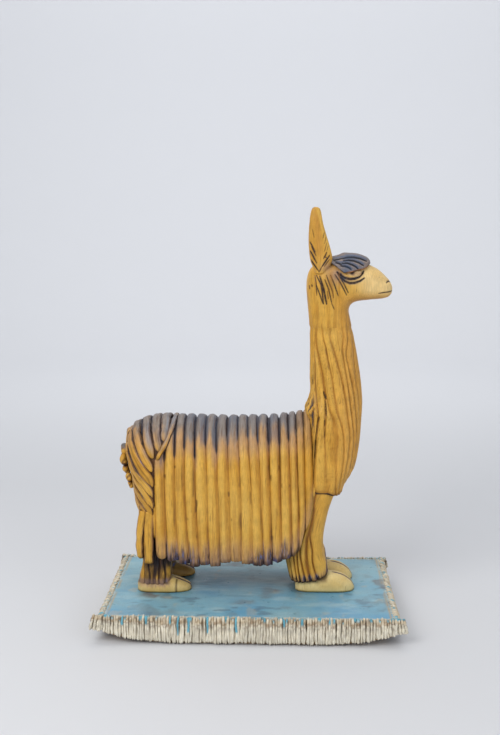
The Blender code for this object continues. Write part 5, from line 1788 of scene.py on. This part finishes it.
# ---- slab and fringe ---------------------------------------------------------------------------
GLAZE_BLUE, GLAZE_MILKY, GLAZE_SCUFF = srgb(84, 150, 190), srgb(176, 204, 208), srgb(84, 106, 122)
GLAZE_THIN, GLAZE_SAND, GLAZE_SHADE = srgb(104, 96, 96), srgb(186, 176, 150), srgb(62, 92, 92)
GOLD_LINE = srgb(186, 152, 92)


def paint_glaze(x, y, border):
    """The slab's glaze: blues in drifts, worn and scuffed patches, a pale edge, a golden line and a painted
    shadow under the llama.
    """
    tone = mix(GLAZE, GLAZE_PALE, 0.15 + 0.35 * fbm(x * 30, y * 60, 3.0, 103) + 0.35 * ramp(y, -0.02, 0.07))
    tone = mix(tone, GLAZE_BLUE, ramp(fbm(x * 26, y * 26, 7.0, 104), 0.0, 0.5) * 0.55)
    tone = mix(tone, GLAZE_MILKY, ramp(fbm(x * 34, y * 90, 4.0, 110), 0.15, 0.6) * 0.40)
    streak = ramp(fbm(x * 62, y * 74, 5.0, 105), -0.02, 0.45)
    streak = streak * ramp(fbm(x * 24, y * 18, 12.0, 106), -0.30, 0.25)
    tone = mix(tone, GLAZE_GREY, streak * 0.80)
    worn_through = ramp(streak, 0.55, 1.0) * ramp(fbm(x * 160, y * 90, 3.0, 112), 0.0, 0.35)
    tone = mix(tone, GLAZE_THIN, worn_through * 0.60)
    scuff = ramp(fbm(x * 75, y * 150, 8.0, 115), 0.20, 0.50) * ramp(fbm(x * 18, y * 22, 2.0, 116), -0.1, 0.3)
    tone = mix(tone, GLAZE_SCUFF, scuff * 0.55)
    tone = mix(tone, GLAZE_SAND, ramp(fbm(x * 90, y * 60, 6.0, 113), 0.38, 0.62) * 0.35)
    wear = below(border, 0.0042 + 0.0022 * fbm(x * 300, y * 300, 2.0, 107), 0.0040)
    tone = mix(tone, FRINGE, wear * 0.70)
    line = bump(SLAB_X - np.abs(x), 0.0042 + 0.0008 * fbm(y * 90, x * 10, 3.0, 118), 0.0008)
    tone = mix(tone, GOLD_LINE, line * ramp(fbm(y * 60, x * 20, 9.0, 119), -0.35, 0.1) * 0.75)
    # painted shadow under the llama's body
    under_llama = bump(x, -0.010, 0.095, 4) * bump(y, BODY_Y, 0.030)
    return mix(tone, GLAZE_SHADE, under_llama * 0.42)


def build_slab():
    rows, cols = 120, 200
    x, y = np.meshgrid(np.linspace(-SLAB_X, SLAB_X, cols), np.linspace(-SLAB_Y, SLAB_Y, rows))
    border = np.minimum(SLAB_X - np.abs(x), SLAB_Y - np.abs(y))
    z = SLAB_TOP - 0.0002 + 0.00020 * fbm(x * 60, y * 60, 1.0, 101) - 0.0008 * below(border, 0.0015, 0.0015)
    z = z + 0.00008 * noise(x * 120, y * 500, 2.0, 102)
    top = np.stack([x, y, z], -1)
    piece = Piece(shelves=2)
    piece.grid(top, paint_glaze(x, y, border), away=np.zeros(3))
    # the sides and the curled underside, of bare clay
    low = CORNER_CURL * corner_share(x) * (0.45 + 0.55 * (y / SLAB_Y) ** 2)
    base = np.stack([x * 0.985, y * 0.985, low], -1)
    edge = [np.concatenate([g[0, :-1], g[:-1, -1], g[-1, :0:-1], g[:0:-1, 0]]) for g in (top, base)]
    side = np.stack([edge[0] * (1 - t) + edge[1] * t for t in np.linspace(0, 1, 8)])
    px, py, pz = np.moveaxis(side, -1, 0)
    stone = mix(STONE, BROWN, 0.2 + 0.3 * noise(px * 200, py * 200, pz * 200, 108))
    piece.grid(side, stone, wrap=True, away=np.array([0, 0, 0.012]))
    px, py, _ = np.moveaxis(base[::4, ::4], -1, 0)
    stone = mix(STONE, BROWN, 0.2 + 0.2 * noise(px * 90, py * 90, 1.0, 109))
    piece.grid(base[::4, ::4], stone, away=np.array([0, 0, 0.3]))
    piece.build("slab_glazed", "turquoise_glaze", "slab")


# Where glaze ran down the front fringe, and how much of the way.
DRIPS = [(-0.1140, 0.40), (-0.0920, 0.35), (-0.0710, 0.30), (-0.0615, 0.70), (-0.0535, 0.58),
         (-0.0360, 0.66), (-0.0100, 0.60), (0.0330, 0.35), (0.0480, 0.30), (0.0720, 0.25)]
STRAND_ROWS, STRAND_AROUND = 17, 6
STRAND_LIT, STRAND_BAND, STRAND_FLECK = srgb(232, 226, 208), srgb(176, 148, 104), srgb(120, 84, 50)


def strand_form(rng, t, s, i, layer, along_x, seed):
    """A strand's line along its side, out from it and down, and how thick it is."""
    share = np.linspace(0, 1, STRAND_ROWS)
    near_corner = max(0.0, abs(t - 0.5) * 2 - 0.86) / 0.14
    splay = 0.0032 * near_corner ** 2 * (1.0 if along_x else 0.3)
    foot = CORNER_CURL * float(corner_share(s if along_x else SLAB_X))
    foot *= 1.0 if along_x else 0.45 + 0.55 * (s / SLAB_Y) ** 2
    foot += 0.0012 + 0.0030 * near_corner ** 2 + rng.uniform(0, 0.0013) + 0.0006 * math.sin(i * 0.35)
    top = SLAB_TOP + 0.0005 + rng.uniform(-0.0007, 0.0010) - (0.0 if layer else 0.0004)
    loose = 1.0 if along_x else 2.2
    wobble = rng.uniform(-0.0006, 0.0006) * loose + 0.0008 * loose * noise(share * 3.2, i * 1.7, layer, seed)
    line = s + math.copysign(1, s) * splay * share + wobble * share ** 0.5
    thick = rng.uniform(0.0010, 0.0015) if layer else 0.0018
    out = (0.0026 if layer else 0.0010) + (0.0010 if along_x else 0.0034) * share
    out = out + rng.uniform(-0.0003, 0.0003) + 0.0003 * noise(share * 4.0, i * 2.3, layer + 9, seed)
    hook = np.clip(1 - share / 0.17, 0, 1)
    out = out - hook ** 1.4 * (0.0048 if layer else 0.0026) * rng.uniform(0.7, 1.1)
    return line, out, top - (top - foot) * share ** 1.15 - 0.0007 * hook ** 3, thick


def paint_strand(rng, i, layer, along_x, drip):
    """A strand's colour: cream with a brown band near its root, painted shade on its unlit side and over the
    back layer, and wet with glaze as far as drip.
    """
    share = np.linspace(0, 1, STRAND_ROWS)[:, None]
    lit = np.clip(np.sin(turn_of(STRAND_AROUND)), -1, 1)[None, :]
    share_all = share + 0 * lit
    tone = mix(FRINGE, STRAND_LIT, 0.35 + 0.6 * noise(share * 6 + 0 * lit, i * 1.3, layer, 111))
    tone = mix(tone, FRINGE_SHADE, below(lit, 0.45, 0.9) * (1 - 0.2 * share) * 0.75)
    band = bump(share_all, 0.20 + 0.06 * rng.uniform(-1, 1), 0.10)
    tone = mix(tone, STRAND_BAND, band * 0.55)
    # painted shade on the band's unlit side
    tone = mix(tone, FRINGE_DARK, band * below(lit, 0.3, 0.8) * (0.5 if along_x else 0.3))
    flecks = ramp(noise(share * 15 + lit * 1.4, i * 2.9, layer, 114), 0.20, 0.45)
    flecks = flecks * below(share, 0.62, 0.3) * ramp(share, 0.07, 0.15)
    tone = mix(tone, STRAND_FLECK, flecks * (0.50 if along_x else 0.15))
    # painted shade over the back layer, which hangs behind the front one
    if layer == 0:
        under = below(share_all, 0.85, 0.5) * ramp(share_all, 0.03, 0.12)
        tone = mix(tone, FRINGE_DARK, under * (0.70 if along_x else 0.35))
    reach = rng.uniform(0.04, 0.20) if rng.uniform() < (0.34 if along_x else 0.22) else 0.0
    reach = max(reach, drip)
    if reach:
        wet = below(share, reach + 0.05, 0.09) * ramp(share, 0.0, 0.06)
        ragged = ramp(lit + 0.6 * noise(share * 9, i * 4.7, layer, 117), -0.3, 0.4)
        tone = mix(tone, TEAL, wet * ragged * 0.95)
    return tone


def build_fringe(node, turn, seed):
    """Clay strands in two layers that hang over one side of the slab."""
    low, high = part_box(node)
    along_x = abs(math.cos(turn)) > 0.5
    length = (high[0] - low[0]) if along_x else (high[1] - low[1])
    offset = SLAB_Y if along_x else SLAB_X
    rng = np.random.default_rng(seed)
    cosine, sine = math.cos(turn), math.sin(turn)
    share = np.linspace(0, 1, STRAND_ROWS)
    ends = rounded_ends(STRAND_ROWS, 0.06, 0.08)
    up = np.tile((sine, -cosine, 0.6), (STRAND_ROWS, 1))
    piece = Piece(shelves=10)
    for layer, pitch in ((0, 0.0034), (1, 0.0024 if along_x else 0.0021)):
        count = int(length / pitch)
        for i in range(count):
            t = (i + 0.5 + rng.uniform(-0.20, 0.20)) / count
            s = (t * 2 - 1) * (length - 0.0040) / 2
            line, out, z, thick = strand_form(rng, t, s, i, layer, along_x, seed)
            out = offset + out
            path = np.stack([cosine * line + sine * out, sine * line - cosine * out, z], -1)
            beads = 1 + 0.22 * noise(share * 8, i * 3.1, layer, seed + 1)
            beads = thick * ends * (beads + 0.20 * noise(share * 21, i * 5.3, layer, seed + 2))
            strand = sweep(path, up, beads, beads, STRAND_AROUND, 1.0)
            here = [far for at, far in DRIPS if abs(s - at) < pitch * 0.5]
            drip = max(here, default=0.0) if node == "fringe_front" and layer else 0.0
            lie = strip_lie(STRAND_ROWS, STRAND_AROUND, 1.8, 2.6, i + layer * 100)
            piece.grid(strand, paint_strand(rng, i, layer, along_x, drip), lie, wrap=True, poles=True)
    piece.build(node + "_strands", "fringe_clay", node)


# ---- camera, light and floor -------------------------------------------------------------------
def build_camera():
    """The camera stands where the photo's camera is worked out to have stood."""
    data = bpy.data.cameras.new("camera")
    data.lens = 47.84
    data.sensor_width = 36.0
    data.clip_start = 0.01
    camera = linked("camera", data)
    camera.location = (0.0288, -0.9006, 0.3932)
    camera.rotation_euler = (math.radians(90 - 9.673), 0.0, math.radians(1.884))
    bpy.context.scene.camera = camera


def build_floor():
    """A round floor that rises into a backdrop all the way round."""
    flat, bend_radius, height, steps = 1.5, 0.9, 1.9, 96
    bend = np.linspace(0, math.pi / 2, 14)
    profile = [(0.0, 0.0), (0.7, 0.0)]
    profile += [(flat + bend_radius * math.sin(a), bend_radius - bend_radius * math.cos(a)) for a in bend]
    profile.append((flat + bend_radius, height))
    verts = [(r * math.cos(a), r * math.sin(a), z) for r, z in profile for a in turn_of(steps)]
    faces = [(i * steps + k, i * steps + (k + 1) % steps, (i + 1) * steps + (k + 1) % steps,
              (i + 1) * steps + k) for i in range(len(profile) - 1) for k in range(steps)]
    mesh = bpy.data.meshes.new("floor")
    mesh.from_pydata(verts, [], faces)
    mesh.shade_smooth()
    material = bpy.data.materials.new("floor")
    material.use_nodes = True
    shader = material.node_tree.nodes["Principled BSDF"]
    shader.inputs["Base Color"].default_value = (*srgb(212, 213, 216), 1)
    shader.inputs["Roughness"].default_value = 0.9
    mesh.materials.append(material)
    linked("floor", mesh)


def build_lights():
    world = bpy.data.worlds.new("studio")
    world.use_nodes = True
    background = world.node_tree.nodes["Background"]
    background.inputs["Color"].default_value = (0.93, 0.96, 1.0, 1)
    background.inputs["Strength"].default_value = 0.58
    bpy.context.scene.world = world
    llama, backdrop = Vector((0, 0, 0.18)), Vector((0, 2.4, 0.9))
    for name, place, aim, size, energy, colour in (
            ("key", (-0.70, -1.00, 1.05), llama, 0.8, 12.0, (1.0, 0.985, 0.96)),
            ("fill", (1.2, -1.1, 0.8), llama, 1.2, 5.6, (0.96, 0.98, 1.0)),
            ("top", (0.0, 0.35, 1.6), llama, 1.2, 6.0, (1.0, 1.0, 1.0)),
            ("wash", (0.0, 1.1, 1.5), backdrop, 1.6, 14.0, (0.97, 0.98, 1.0))):
        lamp = bpy.data.lights.new(name, "AREA")
        lamp.energy, lamp.size, lamp.color = energy, size, colour
        light = linked(name, lamp)
        light.location = place
        light.rotation_euler = (Vector(place) - aim).to_track_quat("Z", "Y").to_euler()
        light.visible_camera = False


def build_studio():
    bpy.context.scene.view_settings.view_transform = "Standard"
    build_camera()
    build_floor()
    build_lights()


build_studio()
build_slab()
for node, turn, seed in (("fringe_front", 0.0, 11), ("fringe_back", math.pi, 12),
                         ("fringe_right", math.pi / 2, 13), ("fringe_left", -math.pi / 2, 14)):
    build_fringe(node, turn, seed)
build_core()
build_trunk()
build_rump()
build_tail()
build_neck(build_head())
build_eyes()
build_forelock()
for word, side in (("right", -1), ("left", 1)):
    build_front_leg(word, side)
    build_hind_leg(word, side)
    build_foot("foot_front_" + word, side, True)
    build_foot("foot_hind_" + word, side, False)
